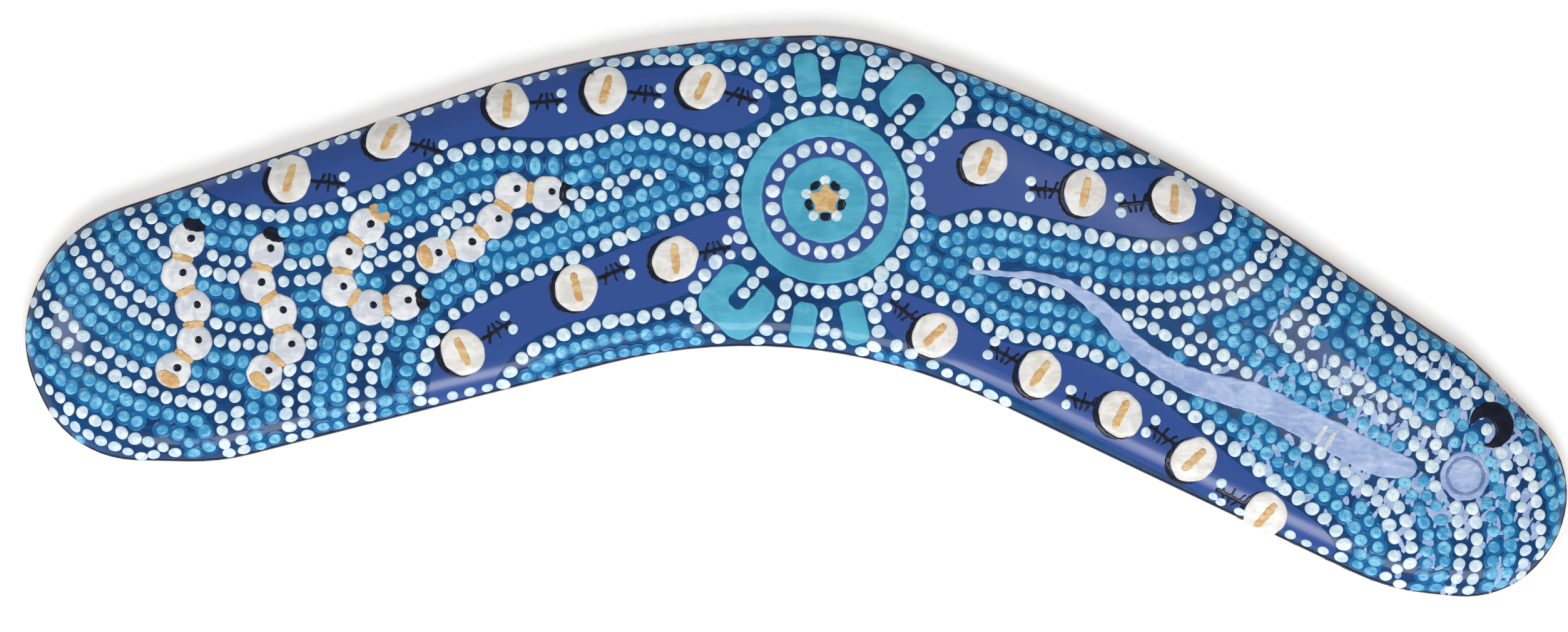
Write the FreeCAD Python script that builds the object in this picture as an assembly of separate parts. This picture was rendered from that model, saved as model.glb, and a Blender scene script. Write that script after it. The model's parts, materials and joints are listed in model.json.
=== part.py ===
import FreeCAD, Part
import math
import os
from dataclasses import dataclass

# A painted plywood boomerang, in millimetres. Seven crossed veneers are glued into a flat blank, the
# blank is sawn to a wide open V, its upper side is rasped to a dome, and the dome is painted in raised
# acrylic: a two-colour ground first, then thick marks, then small marks on top of those.
# The origin is on the flat back under the centre of the painted rings. +X runs along the span, +Y from
# the crook to the outer edge of the elbow, and +Z out of the painted side.

Vector = FreeCAD.Vector
UP = Vector(0, 0, 1)


# ---- outline of the blank
# An arm's "along" runs out from the elbow, and its "across" is positive on the outer, convex side.
LEFT_ANGLE = 196.0
LEFT_REACH = 213.0
LEFT_OUTER = 54.5
LEFT_INNER = 26.5
LEFT_TIP_RADIUS = 27.5
RIGHT_ANGLE = -28.0
RIGHT_REACH = 213.0
RIGHT_OUTER = 54.0
RIGHT_INNER = 25.5
RIGHT_TIP_RADIUS = 26.0
ELBOW_SHIFT = 6.8
ELBOW_RISE = 43.6
ELBOW_RADIUS = 74.0
CROOK_RADIUS = 148.0
SHOULDER_RADIUS = 300.0

# ---- section of the blank: lower round, upright rim, nose, shoulder and crown
# The slopes are in degrees from the flat. The shoulder's radius follows from the thickness.
PLY_COUNT = 7
PLY_THICKNESS = 1.4
LOWER_ROUND = 2.0
RIM_HEIGHT = 0.5
NOSE_RADIUS = 2.0
NOSE_SLOPE = 58.0
SHOULDER_SLOPE = 10.0
CROWN_RADIUS = 80.0

# ---- paint
COAT = 0.2
MARK = 0.3
DETAIL = 0.2
PAINTED_RIM = 0.1

# ---- rings round the elbow's centre
DISC_RADIUS = 11.2
CHANNEL_DOT = 3.6
CHANNEL_GAP = 0.75
CHANNEL_SPACE = 0.95
RING_BAND = 5.5
STAR_POINTS = 5
STAR_OUTER = 4.4
STAR_INNER = 2.9
STAR_DOT = 2.8

# ---- bars and arches that stand round the rings, as degrees round the centre
BORDER_GAP = 5.2
UPPER_BARS = (98.0, 78.5)
LOWER_BARS = (260.0, 283.5)
BAR_LENGTH = 11.5
BAR_WIDTH = 6.4
UPPER_ARCH = 47.0
LOWER_ARCH = 229.0
ARCH_LENGTH = 16.0
ARCH_WIDTH = 17.0
ARCH_SLOT = 4.4

# ---- seeds in the panels, each on a dark twig that ends in two buds
SEED_LENGTH = 12.6
SEED_WIDTH = 11.2
SEED_SHADOW = 1.2
STROKE_LENGTH = 7.4
STROKE_WIDTH = 2.0
STEM_LENGTH = 8.6
STEM_WIDTH = 1.1
TICK_LENGTH = 5.0
TICK_WIDTH = 0.7
TICKS = (0.3, 0.55, 0.8)
BUD_DIAMETER = 2.7
BUD_SPREAD = 4.0
TICK_FAN = 24.0
TWIG_SWAY = 10.0
SEED_LEAN = 40.0
STROKE_LEAN = 82.0

# ---- chains of beads on the left arm
BEAD_DIAMETER = 9.6
BEAD_OVERLAP = 0.5
BEAD_EYE = 2.0
LINK_LENGTH = 5.6
LINK_WIDTH = 1.9

# ---- winding path, pool and crescent on the right arm
POOL_RADIUS = 6.4
CRESCENT_RADIUS = 6.0
CRESCENT_BITE = 3.0

THICKNESS = PLY_COUNT * PLY_THICKNESS
NOSE_HEIGHT = LOWER_ROUND + RIM_HEIGHT
PAINT_LINE = NOSE_HEIGHT - PAINTED_RIM
RING_INNER = DISC_RADIUS + CHANNEL_DOT + 2 * CHANNEL_GAP
RING_OUTER = RING_INNER + RING_BAND
BEAD_PITCH = BEAD_DIAMETER - BEAD_OVERLAP

# The most of an outline's side that the arcs at its two ends may take.
ARC_SHARE = 0.96


# ---------------------------------------------------------------- outline


@dataclass(frozen=True)
class Arm:
    """One arm: the angle of its run in the plan, which side of the run is convex, how far it reaches
    from the elbow, and how far its convex and its inner edge lie from the run."""

    angle: float
    convex_side: int
    reach: float
    outer: float
    inner: float

    def point(self, along, across):
        """The plan point at a distance along the run and across it, positive on the convex side."""
        angle = math.radians(self.angle)
        u = Vector(math.cos(angle), math.sin(angle), 0)
        return u * along + UP.cross(u) * (across * self.convex_side)

    def place(self, share_along, share_across):
        """The plan point at a share of the reach, and at a share of the way from the run to the
        convex edge or, where it is negative, to the inner edge."""
        edge = self.outer if share_across > 0 else self.inner
        return self.point(share_along * self.reach, share_across * edge)


LEFT = Arm(LEFT_ANGLE, -1, LEFT_REACH, LEFT_OUTER, LEFT_INNER)
RIGHT = Arm(RIGHT_ANGLE, 1, RIGHT_REACH, RIGHT_OUTER, RIGHT_INNER)


@dataclass(frozen=True)
class Corner:
    """A corner of the blank in an arm's directions, rounded by an arc that both sides touch."""

    along: float
    across: float
    radius: float


@dataclass(frozen=True)
class Stretch:
    """One stretch of an outline: an arc about a centre, or a straight run where centre is None."""

    start: Vector
    end: Vector
    inward: Vector
    centre: Vector
    turn: float


# Each arm's corners run anticlockwise round the blank: the left arm's from its shoulder to the crook,
# and the right arm's from the crook to its shoulder.
LEFT_CORNERS = (
    Corner(42.4, LEFT_OUTER, SHOULDER_RADIUS),
    Corner(LEFT_REACH - 18.5, LEFT_OUTER - 6.5, LEFT_TIP_RADIUS + 7.0),
    Corner(LEFT_REACH, 22.8, LEFT_TIP_RADIUS + 3.0),
    Corner(LEFT_REACH - 5.2, 16.2 - LEFT_INNER, LEFT_TIP_RADIUS),
    Corner(LEFT_REACH - 42.2, 4.6 - LEFT_INNER, 60.0),
    Corner(19.6, -LEFT_INNER, CROOK_RADIUS),
)
RIGHT_CORNERS = (
    Corner(60.0, -RIGHT_INNER, CROOK_RADIUS),
    Corner(RIGHT_REACH - 35.3, 5.2 - RIGHT_INNER, 60.0),
    Corner(RIGHT_REACH - 6.1, 17.2 - RIGHT_INNER, RIGHT_TIP_RADIUS),
    Corner(RIGHT_REACH, 29.2, RIGHT_TIP_RADIUS),
    Corner(RIGHT_REACH - 45.3, RIGHT_OUTER - 11.0, 40.0),
    Corner(57.3, RIGHT_OUTER, SHOULDER_RADIUS + 100.0),
)


def outline_corners():
    """The blank's corners, anticlockwise from the elbow, as (plan point, radius)."""
    corners = [(Vector(ELBOW_SHIFT, ELBOW_RISE, 0), ELBOW_RADIUS)]
    corners += [(LEFT.point(c.along, c.across), c.radius) for c in LEFT_CORNERS]
    corners += [(RIGHT.point(c.along, c.across), c.radius) for c in RIGHT_CORNERS]
    return corners


def arc_reaches(corners):
    """How far each corner's arc reaches along its sides. Two arcs that want more than their side
    share it, and a corner whose radius is None wants nearly half of its shorter side."""
    count = len(corners)
    sides = [(corners[(i + 1) % count][0] - corners[i][0]).Length for i in range(count)]
    wanted = []
    for i, (point, radius) in enumerate(corners):
        if radius is None:
            wanted.append(min(sides[i - 1], sides[i]) * ARC_SHARE / 2)
            continue
        back = corners[i - 1][0] - point
        ahead = corners[(i + 1) % count][0] - point
        wanted.append(radius / math.tan(back.getAngle(ahead) / 2))
    fits = [min(1.0, sides[i] * ARC_SHARE / (wanted[i] + wanted[(i + 1) % count]))
            for i in range(count)]
    return [wanted[i] * min(fits[i - 1], fits[i]) for i in range(count)]


def rounded(corners):
    """The closed anticlockwise outline through (point, radius) corners: arcs joined by straight runs
    that touch them."""
    arcs = []
    reaches = arc_reaches(corners)
    for i, (point, _) in enumerate(corners):
        back = (corners[i - 1][0] - point).normalize()
        ahead = (corners[(i + 1) % len(corners)][0] - point).normalize()
        half = back.getAngle(ahead) / 2
        centre = point + (back + ahead).normalize() * (reaches[i] / math.cos(half))
        start = point + back * reaches[i]
        end = point + ahead * reaches[i]
        convex = back.cross(ahead).z < 0
        inward = (centre - start) if convex else (start - centre)
        turn = (math.pi - 2 * half) * (1 if convex else -1)
        arcs.append(Stretch(start, end, inward.normalize(), centre, math.degrees(turn)))
    stretches = []
    for i, arc in enumerate(arcs):
        following = arcs[(i + 1) % len(arcs)]
        run = following.start - arc.end
        inward = UP.cross(run).normalize()
        stretches += [arc, Stretch(arc.end, following.start, inward, None, 0.0)]
    return stretches


def sweep(edge, stretch):
    """The face that an upright edge at a stretch's start leaves as it follows the stretch."""
    if stretch.centre is None:
        return edge.extrude(stretch.end - stretch.start)
    return edge.revolve(stretch.centre, UP, stretch.turn)


def ring_wire(stretches, inset, height):
    """The closed wire at one inset from the outline and one height."""
    edges = []
    for stretch in stretches:
        start = stretch.start + stretch.inward * inset + UP * height
        if stretch.centre is None:
            edges.append(Part.makeLine(start, start + stretch.end - stretch.start))
            continue
        turn = FreeCAD.Rotation(UP, stretch.turn / 2)
        hub = stretch.centre + UP * height
        middle = hub + turn.multVec(start - hub)
        end = hub + turn.multVec(turn.multVec(start - hub))
        edges.append(Part.Arc(start, middle, end).toShape())
    return Part.Wire(Part.__sortEdges__(edges))


def swept_solid(profile):
    """The solid under a profile carried round the outline. A profile is a list of stretches of
    (inset, height) points: two for a line and three for an arc, each starting where the last ended."""
    stretches = rounded(outline_corners())
    faces = []
    for stretch in stretches:
        for points in profile:
            places = [stretch.start + stretch.inward * d + UP * z for d, z in points]
            if len(places) == 2:
                edge = Part.makeLine(*places)
            else:
                edge = Part.Arc(*places).toShape()
            faces.append(sweep(edge, stretch))
    for inset, height in (profile[0][0], profile[-1][-1]):
        faces.append(Part.Face(ring_wire(stretches, inset, height)))
    shell = Part.Compound(faces)
    shell.sewShape()
    solid = Part.Solid(shell.Shells[0])
    if solid.Volume < 0:
        solid.reverse()
    return solid


# ---------------------------------------------------------------- section


def arc_points(inset, height, radius, slope_from, slope_to):
    """Three (inset, height) points of a dome's arc between two slopes, in degrees from the flat."""
    slopes = [math.radians(s) for s in (slope_from, (slope_from + slope_to) / 2, slope_to)]
    centre_inset = inset + radius * math.sin(slopes[0])
    centre_height = height - radius * math.cos(slopes[0])
    return [
        (centre_inset - radius * math.sin(s), centre_height + radius * math.cos(s)) for s in slopes
    ]


def shoulder_radius():
    """The shoulder's radius that brings the crown's middle to the blank's thickness."""
    nose = math.cos(math.radians(NOSE_SLOPE))
    shoulder = math.cos(math.radians(SHOULDER_SLOPE))
    rise = THICKNESS - NOSE_HEIGHT - NOSE_RADIUS * nose - CROWN_RADIUS * (1 - shoulder)
    return rise / (shoulder - nose)


def dome_profile(grown):
    """The nose, shoulder and crown of the section, moved out by grown, from the nose's foot up."""
    nose = arc_points(-grown, NOSE_HEIGHT, NOSE_RADIUS + grown, 90.0, NOSE_SLOPE)
    shoulder = arc_points(*nose[-1], shoulder_radius() + grown, NOSE_SLOPE, SHOULDER_SLOPE)
    crown = arc_points(*shoulder[-1], CROWN_RADIUS + grown, SHOULDER_SLOPE, 0.0)
    return [nose, shoulder, crown]


def blank():
    """The bare wooden blank: flat back, lower round, upright rim and dome."""
    diagonal = LOWER_ROUND * (1 - math.sqrt(0.5))
    lower = [(LOWER_ROUND, 0.0), (diagonal, diagonal), (0.0, LOWER_ROUND)]
    rim = [(0.0, LOWER_ROUND), (0.0, NOSE_HEIGHT)]
    return swept_solid([lower, rim, *dome_profile(0.0)])


def dome(grown):
    """The dome above the paint line, with its surface moved out by grown."""
    rim = [(-grown, PAINT_LINE), (-grown, NOSE_HEIGHT)]
    return swept_solid([rim, *dome_profile(grown)])


def film(lower, upper):
    """The film of paint between two distances from the wood."""
    return dome(upper).cut(dome(lower))


def plies(wood):
    """The veneers, from the back up, as {node: solid}."""
    made = {}
    box = wood.BoundBox
    for i in range(PLY_COUNT):
        corner = Vector(box.XMin - 1, box.YMin - 1, i * PLY_THICKNESS)
        sheet = Part.makeBox(box.XLength + 2, box.YLength + 2, PLY_THICKNESS, corner)
        grain = "long_grain" if i % 2 == 0 else "cross_grain"
        made[f"ply_{i + 1}_{grain}"] = wood.common(sheet)
    return made


# ---------------------------------------------------------------- plan shapes


def face(corners):
    """The flat face inside a closed outline of (point, radius) corners."""
    return Part.Face(ring_wire(rounded(corners), 0.0, 0.0))


def disc(centre, radius):
    """The flat face of a disc."""
    return Part.Face(Part.Wire(Part.makeCircle(radius, centre)))


def oval(centre, length, width, angle):
    """The flat face of an ellipse whose length lies at some degrees from +X."""
    ellipse = Part.Ellipse(Vector(), max(length, width) / 2, min(length, width) / 2).toShape()
    ellipse.rotate(Vector(), UP, angle if length >= width else angle + 90)
    ellipse.translate(centre)
    return Part.Face(Part.Wire(ellipse))


def slab(centre, length, width, angle, radius):
    """The flat face of a rectangle with rounded corners, its length at some degrees from +X."""
    turn = math.radians(angle)
    u = Vector(math.cos(turn), math.sin(turn), 0) * (length / 2)
    v = UP.cross(u).normalize() * (width / 2)
    return face([(centre + place, radius) for place in (-u - v, u - v, u + v, -u + v)])


def anticlockwise(points):
    """The points in the order that turns anticlockwise."""
    area = 0.0
    for i, point in enumerate(points):
        area += points[i - 1].cross(point).z
    return points if area > 0 else points[::-1]


def joined(faces):
    """One flat shape without seams that covers flat faces which overlap."""
    return faces[0].multiFuse(faces[1:]).removeSplitter()


def apart(shapes):
    """The flat shapes as one compound, in which a later one stops where an earlier one lies."""
    kept = []
    for shape in shapes:
        for other in kept:
            if shape.BoundBox.intersect(other.BoundBox):
                shape = shape.cut(other)
        kept.append(shape)
    return Part.Compound(kept)


def prisms(flat, height):
    """The upright prisms on the flat faces, from below the back to a height over the crown."""
    return flat.translated(Vector(0, 0, -1)).extrude(UP * (height + 1))


# ---------------------------------------------------------------- ground


@dataclass(frozen=True)
class Panel:
    """A navy panel: its wavy edge and its back edge as corners at shares of an arm. A share beyond
    1 across lies outside the blank."""

    arm: Arm
    wavy_edge: tuple
    back_edge: tuple

    def flat(self):
        """The flat face of the panel."""
        points = [self.arm.place(*corner) for corner in self.wavy_edge + self.back_edge]
        return face([(point, None) for point in anticlockwise(points)])


PANELS = (
    Panel(
        LEFT,
        ((0.73, 0.84), (0.625, 0.64), (0.5, 0.66), (0.395, 0.77), (0.28, 0.61), (0.18, 0.64)),
        ((0.1, 0.41), (0.025, 0.48), (0.04, 0.64), (0.12, 0.8), (0.245, 0.9), (0.355, 1.14), (0.74, 1.14)),
    ),
    Panel(
        LEFT,
        ((0.53, -0.72), (0.49, -0.19), (0.405, 0.0), (0.265, 0.04), (0.13, 0.09), (0.09, 0.06)),
        ((0.11, -0.3), (0.215, -0.58), (0.33, -0.43), (0.425, -0.57), (0.5, -1.36), (0.555, -1.36)),
    ),
    Panel(
        RIGHT,
        ((0.435, 0.76), (0.375, 0.56), (0.26, 0.44), (0.17, 0.33), (0.13, 0.17), (0.1, 0.2)),
        ((0.06, 0.41), (0.115, 0.67), (0.21, 0.69), (0.27, 0.7), (0.335, 0.9), (0.425, 0.93)),
    ),
    Panel(
        RIGHT,
        ((0.105, -0.51), (0.19, -0.39), (0.265, -0.47), (0.355, -0.2), (0.46, -0.16), (0.61, -0.43)),
        ((0.73, -0.57), (0.765, -0.78), (0.695, -0.8), (0.47, -0.86), (0.28, -0.86), (0.135, -0.9)),
    ),
)


def navy_ground():
    """The flat shape of all that is painted navy: the hub under the rings, and the four panels as
    far as the outer ring."""
    hub = disc(Vector(), (RING_INNER + RING_OUTER) / 2)
    rings = disc(Vector(), RING_OUTER)
    return Part.Compound([hub] + [panel.flat().cut(rings) for panel in PANELS])


# ---------------------------------------------------------------- rings, bars and arches


def around(angle, radius):
    """The plan point at a bearing and a distance from the centre of the rings."""
    turn = math.radians(angle)
    return Vector(math.cos(turn), math.sin(turn), 0) * radius


def star_face():
    """The flat face of the star at the centre."""
    points = []
    for i in range(2 * STAR_POINTS):
        radius = STAR_INNER if i % 2 else STAR_OUTER
        points.append(around(90.0 + i * 180.0 / STAR_POINTS, radius))
    return Part.Face(Part.makePolygon(points + points[:1]))


def star_dots():
    """The flat discs at the star's points."""
    places = [around(90.0 + i * 360.0 / STAR_POINTS, STAR_OUTER + STAR_DOT / 4)
              for i in range(STAR_POINTS)]
    return Part.Compound([disc(place, STAR_DOT / 2) for place in places])


def channel_dots():
    """The flat discs in the channel between the disc and the outer ring, as many as fit."""
    radius = (DISC_RADIUS + RING_INNER) / 2
    count = round(2 * math.pi * radius / (CHANNEL_DOT + CHANNEL_SPACE))
    places = [around(i * 360.0 / count, radius) for i in range(count)]
    return Part.Compound([disc(place, CHANNEL_DOT / 2) for place in places])


def bar(angle):
    """The flat face of a bar that points at the centre."""
    middle = RING_OUTER + BORDER_GAP + BAR_LENGTH / 2
    return slab(around(angle, middle), BAR_LENGTH, BAR_WIDTH, angle, BAR_WIDTH / 3)


def arch(angle):
    """The flat face of an arch that is open towards the centre."""
    inner = RING_OUTER + BORDER_GAP
    middle = inner + ARCH_LENGTH / 2
    slot_end = inner + ARCH_LENGTH - (ARCH_WIDTH - ARCH_SLOT) / 2
    block = slab(around(angle, middle), ARCH_LENGTH, ARCH_WIDTH, angle, ARCH_WIDTH / 4)
    slot_middle = (inner - ARCH_SLOT + slot_end) / 2
    slot_length = slot_end - inner + ARCH_SLOT
    slot = slab(around(angle, slot_middle), slot_length, ARCH_SLOT, angle, ARCH_SLOT * 0.45)
    return block.cut(slot)


# ---------------------------------------------------------------- seeds and twigs


@dataclass(frozen=True)
class Seed:
    """A seed at a place in the plan, the bearing of its twig, and the bearing of its long axis."""

    place: Vector
    twig: float
    lean: float

    def body(self, grown=0.0):
        """The flat oval of the seed."""
        return oval(self.place, SEED_LENGTH + grown, SEED_WIDTH + grown, self.lean)

    def shadow(self):
        """The flat dark oval that shows as a rim on the seed's left."""
        offset = Vector(-SEED_SHADOW, -SEED_SHADOW / 4, 0)
        return self.body(SEED_SHADOW / 2).translated(offset)

    def stroke(self):
        """The flat stroke down the middle of the seed."""
        return oval(self.place, STROKE_LENGTH, STROKE_WIDTH, self.twig + STROKE_LEAN)

    def stem_point(self, share):
        """The plan point at a share of the twig's length from the seed."""
        return self.place + around(self.twig, SEED_WIDTH / 2 + share * STEM_LENGTH)

    def dark(self):
        """The flat shape of the twig, which is a stem with ticks across it, and of the shadow."""
        stem = slab(self.stem_point(0.5), STEM_LENGTH + 1, STEM_WIDTH, self.twig, STEM_WIDTH / 3)
        faces = [stem]
        for i, share in enumerate(TICKS):
            angle = self.twig + 90.0 + TICK_FAN * (i - 1)
            place = self.stem_point(share)
            faces.append(slab(place, TICK_LENGTH, TICK_WIDTH, angle, TICK_WIDTH / 3))
        twig = joined(faces)
        return Part.Compound([twig, self.shadow().cut(twig)])

    def buds(self):
        """The flat discs of the two buds at the end of the twig."""
        side = around(self.twig + 90.0, BUD_SPREAD / 2)
        end = self.stem_point(1.0)
        return [disc(end + side, BUD_DIAMETER / 2), disc(end - side, BUD_DIAMETER / 2)]


@dataclass(frozen=True)
class SeedRow:
    """A row of seeds on an arm: the shares along at which they lie, the row's share across at its
    two ends, its bow to the convex side midway, and the bearing of its twigs in the plan."""

    arm: Arm
    alongs: tuple
    across_first: float
    across_last: float
    bow: float
    twig: float

    def seeds(self):
        """The seeds of the row. Their twigs and their lean vary from one to the next."""
        found = []
        first = self.alongs[0]
        for i, along in enumerate(self.alongs):
            t = (along - first) / (self.alongs[-1] - first)
            across = self.across_first * (1 - t) + self.across_last * t + 4 * self.bow * t * (1 - t)
            twig = self.twig + TWIG_SWAY * (i % 3 - 1)
            found.append(Seed(self.arm.place(along, across), twig, SEED_LEAN * (i % 3 + 1)))
        return found


SEED_ROWS = (
    SeedRow(LEFT, (0.105, 0.22, 0.34, 0.49, 0.62), 0.68, 0.8, 0.12, -6.0),
    SeedRow(LEFT, (0.195, 0.32, 0.475), -0.15, -0.45, 0.13, 22.0),
    SeedRow(RIGHT, (0.15, 0.275, 0.375), 0.52, 0.79, -0.055, 176.0),
    SeedRow(RIGHT, (0.195, 0.33, 0.44, 0.545, 0.655), -0.69, -0.73, 0.2, 152.0),
)


# ---------------------------------------------------------------- bead chains


@dataclass(frozen=True)
class Chain:
    """A chain of beads: the shares of the left arm at which it starts, and the bearing of each link
    in the plan."""

    along: float
    across: float
    bearings: tuple

    def beads(self):
        """The plan points of the beads."""
        found = [LEFT.place(self.along, self.across)]
        for bearing in self.bearings:
            found.append(found[-1] + around(bearing, BEAD_PITCH))
        return found

    def body(self):
        """The flat shape of the beads, joined."""
        return joined([disc(bead, BEAD_DIAMETER / 2) for bead in self.beads()])

    def eyes(self):
        """The flat dots on the beads, each a little off the middle."""
        offset = Vector(BEAD_DIAMETER * 0.12, BEAD_DIAMETER * 0.06, 0)
        return [disc(bead + offset, BEAD_EYE / 2) for bead in self.beads()]

    def links(self):
        """The flat strokes across the joins between the beads."""
        beads = self.beads()
        found = []
        for bearing, bead in zip(self.bearings, beads):
            middle = bead + around(bearing, BEAD_PITCH / 2)
            found.append(oval(middle, LINK_LENGTH, LINK_WIDTH, bearing + 90.0))
        return found


CHAINS = (
    Chain(0.76, 0.65, (-103.0, -66.0, -88.0, -127.0)),
    Chain(0.67, 0.5, (-105.0, -52.0, -76.0, -131.0)),
    Chain(0.545, 0.48, (-128.0, -99.0, -32.0, 8.0)),
    Chain(0.475, 0.26, (18.0, 41.0, 59.0, -5.0)),
)


# ---------------------------------------------------------------- path, pool and crescent

# The path's places as (share along, share across, width) on the right arm, from its thin tail to its
# blunt head.
PATH = (
    (0.195, 0.02, 1.2),
    (0.29, 0.19, 2.4),
    (0.355, 0.17, 4.6),
    (0.425, 0.06, 5.6),
    (0.5, 0.05, 6.4),
    (0.565, 0.13, 8.0),
    (0.68, 0.14, 8.0),
    (0.75, 0.14, 8.6),
    (0.79, 0.19, 4.4),
)
POOL_PLACE = (0.845, 0.27)
CRESCENT_PLACE = (0.845, 0.55)
CRESCENT_OPENING = 215.0


def path_face():
    """The flat face of the winding path."""
    centres = [RIGHT.place(along, across) for along, across, _ in PATH]
    left = []
    right = []
    for i, centre in enumerate(centres):
        run = centres[min(i + 1, len(centres) - 1)] - centres[max(i - 1, 0)]
        side = UP.cross(run).normalize() * (PATH[i][2] / 2)
        left.append(centre + side)
        right.append(centre - side)
    points = anticlockwise(left + right[::-1])
    return face([(point, None) for point in points])


def crescent_face():
    """The flat face of the dark crescent near the right tip."""
    place = RIGHT.place(*CRESCENT_PLACE)
    bite = place + around(CRESCENT_OPENING, CRESCENT_BITE)
    return disc(place, CRESCENT_RADIUS).cut(disc(bite, CRESCENT_RADIUS * 0.55))


# ---------------------------------------------------------------- layers of paint


def first_marks():
    """The marks painted straight on the ground, as {node: flat shape}, the topmost first."""
    marks = {
        "outer_ring": disc(Vector(), RING_OUTER).cut(disc(Vector(), RING_INNER)),
        "inner_disc": disc(Vector(), DISC_RADIUS),
        "channel_dots": channel_dots(),
        "upper_bars": Part.Compound([bar(angle) for angle in UPPER_BARS] + [arch(UPPER_ARCH)]),
        "lower_bars": Part.Compound([bar(angle) for angle in LOWER_BARS] + [arch(LOWER_ARCH)]),
    }
    for i, chain in enumerate(CHAINS):
        marks[f"bead_chain_{i + 1}"] = chain.body()
    seeds = [seed for row in SEED_ROWS for seed in row.seeds()]
    marks["cream_seeds"] = apart([seed.body() for seed in seeds])
    marks["twig_buds"] = apart([bud for seed in seeds for bud in seed.buds()])
    marks["dark_twigs"] = apart([seed.dark() for seed in seeds])
    marks["winding_path"] = path_face()
    marks["pool"] = disc(RIGHT.place(*POOL_PLACE), POOL_RADIUS)
    marks["dark_crescent"] = crescent_face()
    return marks


def second_marks():
    """The small marks painted on the first ones, as {node: flat shape}, the topmost first."""
    strokes = apart([seed.stroke() for row in SEED_ROWS for seed in row.seeds()])
    return {
        "centre_star": star_face(),
        "star_dots": star_dots(),
        "ochre_strokes": strokes,
        "bead_eyes": apart([eye for chain in CHAINS for eye in chain.eyes()]),
        "bead_links": apart([link for chain in CHAINS for link in chain.links()]),
    }


def painted(marks, lower, upper):
    """The marks of one layer of paint as {node: solid}. A mark stops where one before it lies."""
    layer = film(lower, upper)
    made = {}
    laid = None
    for node, flat in marks.items():
        fresh = flat if laid is None else flat.cut(laid)
        made[node] = layer.common(prisms(fresh, THICKNESS + upper))
        laid = flat if laid is None else laid.fuse(flat)
    return made


def ground():
    """The ground of paint on the wood as {node: solid}: the navy panels let into the base coat."""
    coat = film(0.0, COAT)
    navy = prisms(navy_ground(), THICKNESS + COAT)
    return {"base_coat": coat.cut(navy), "navy_panels": coat.common(navy)}


def boomerang():
    """Every sub-part of the boomerang as {node: solid}, from the back up."""
    made = plies(blank())
    made.update(ground())
    made.update(painted(first_marks(), COAT, COAT + MARK))
    made.update(painted(second_marks(), COAT + MARK, COAT + MARK + DETAIL))
    return made


def main():
    """Writes one file for each sub-part."""
    os.makedirs("parts", exist_ok=True)
    for node, solid in boomerang().items():
        solid.exportStep(f"parts/{node}.step")
        print(f"{node}: {len(solid.Solids)} solids, {solid.Volume:.1f} mm3")


if __name__ == "__main__":
    main()
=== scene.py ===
import json
import logging
import math
import random
from dataclasses import dataclass, field
from enum import Enum

import bpy
import numpy as np
from bpy.types import Material, Node, NodeSocket, NodeTree, Object
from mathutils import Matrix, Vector, noise
from mathutils.bvhtree import BVHTree
from mathutils.geometry import delaunay_2d_cdt

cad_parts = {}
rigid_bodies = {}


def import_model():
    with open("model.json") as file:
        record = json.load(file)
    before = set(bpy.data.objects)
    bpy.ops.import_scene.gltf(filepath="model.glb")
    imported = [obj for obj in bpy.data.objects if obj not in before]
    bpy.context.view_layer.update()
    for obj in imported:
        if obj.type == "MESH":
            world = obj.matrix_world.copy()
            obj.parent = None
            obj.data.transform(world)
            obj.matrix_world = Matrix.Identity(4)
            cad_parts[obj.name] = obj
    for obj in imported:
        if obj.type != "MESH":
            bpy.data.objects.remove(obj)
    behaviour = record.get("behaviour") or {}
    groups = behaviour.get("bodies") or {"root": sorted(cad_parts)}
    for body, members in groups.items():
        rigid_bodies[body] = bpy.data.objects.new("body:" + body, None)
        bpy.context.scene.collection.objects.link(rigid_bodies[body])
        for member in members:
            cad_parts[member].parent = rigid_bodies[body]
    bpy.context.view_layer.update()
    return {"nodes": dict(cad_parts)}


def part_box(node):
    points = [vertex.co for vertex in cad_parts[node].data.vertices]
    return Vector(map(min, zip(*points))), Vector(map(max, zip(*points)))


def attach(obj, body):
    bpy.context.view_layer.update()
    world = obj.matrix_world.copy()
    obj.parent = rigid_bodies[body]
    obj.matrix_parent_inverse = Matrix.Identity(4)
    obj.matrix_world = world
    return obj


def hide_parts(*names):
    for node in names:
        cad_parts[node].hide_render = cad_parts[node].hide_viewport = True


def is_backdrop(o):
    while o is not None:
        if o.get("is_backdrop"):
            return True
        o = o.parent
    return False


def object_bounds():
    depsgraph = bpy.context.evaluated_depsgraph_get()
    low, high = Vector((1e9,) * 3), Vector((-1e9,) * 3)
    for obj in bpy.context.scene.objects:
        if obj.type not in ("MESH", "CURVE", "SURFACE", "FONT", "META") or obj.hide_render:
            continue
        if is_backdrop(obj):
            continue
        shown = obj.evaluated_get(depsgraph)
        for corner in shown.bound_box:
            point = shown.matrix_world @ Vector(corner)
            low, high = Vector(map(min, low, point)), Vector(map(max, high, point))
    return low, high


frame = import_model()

LOG = logging.getLogger("boomerang")
BODY = "root"
MM = 0.001
DOWN = Vector((0.0, 0.0, -1.0))
ABOVE = 50 * MM
RIM_HEIGHT = 2.6 * MM
LONE_DROP = 2.5 * MM
FINE_STEP = 0.3 * MM
CHUNK = 4000
UPWARD = 0.02
SLIVER = 1e-8
TINY = 1e-12
ROW_SQUEEZE = 0.866


# ---------------------------------------------------------------- plan shapes


def chunks(count: int) -> list[np.ndarray]:
    """The numbers below a count, in parts that are small enough to work on at once."""
    return np.array_split(np.arange(count), 1 + count // CHUNK)


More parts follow.
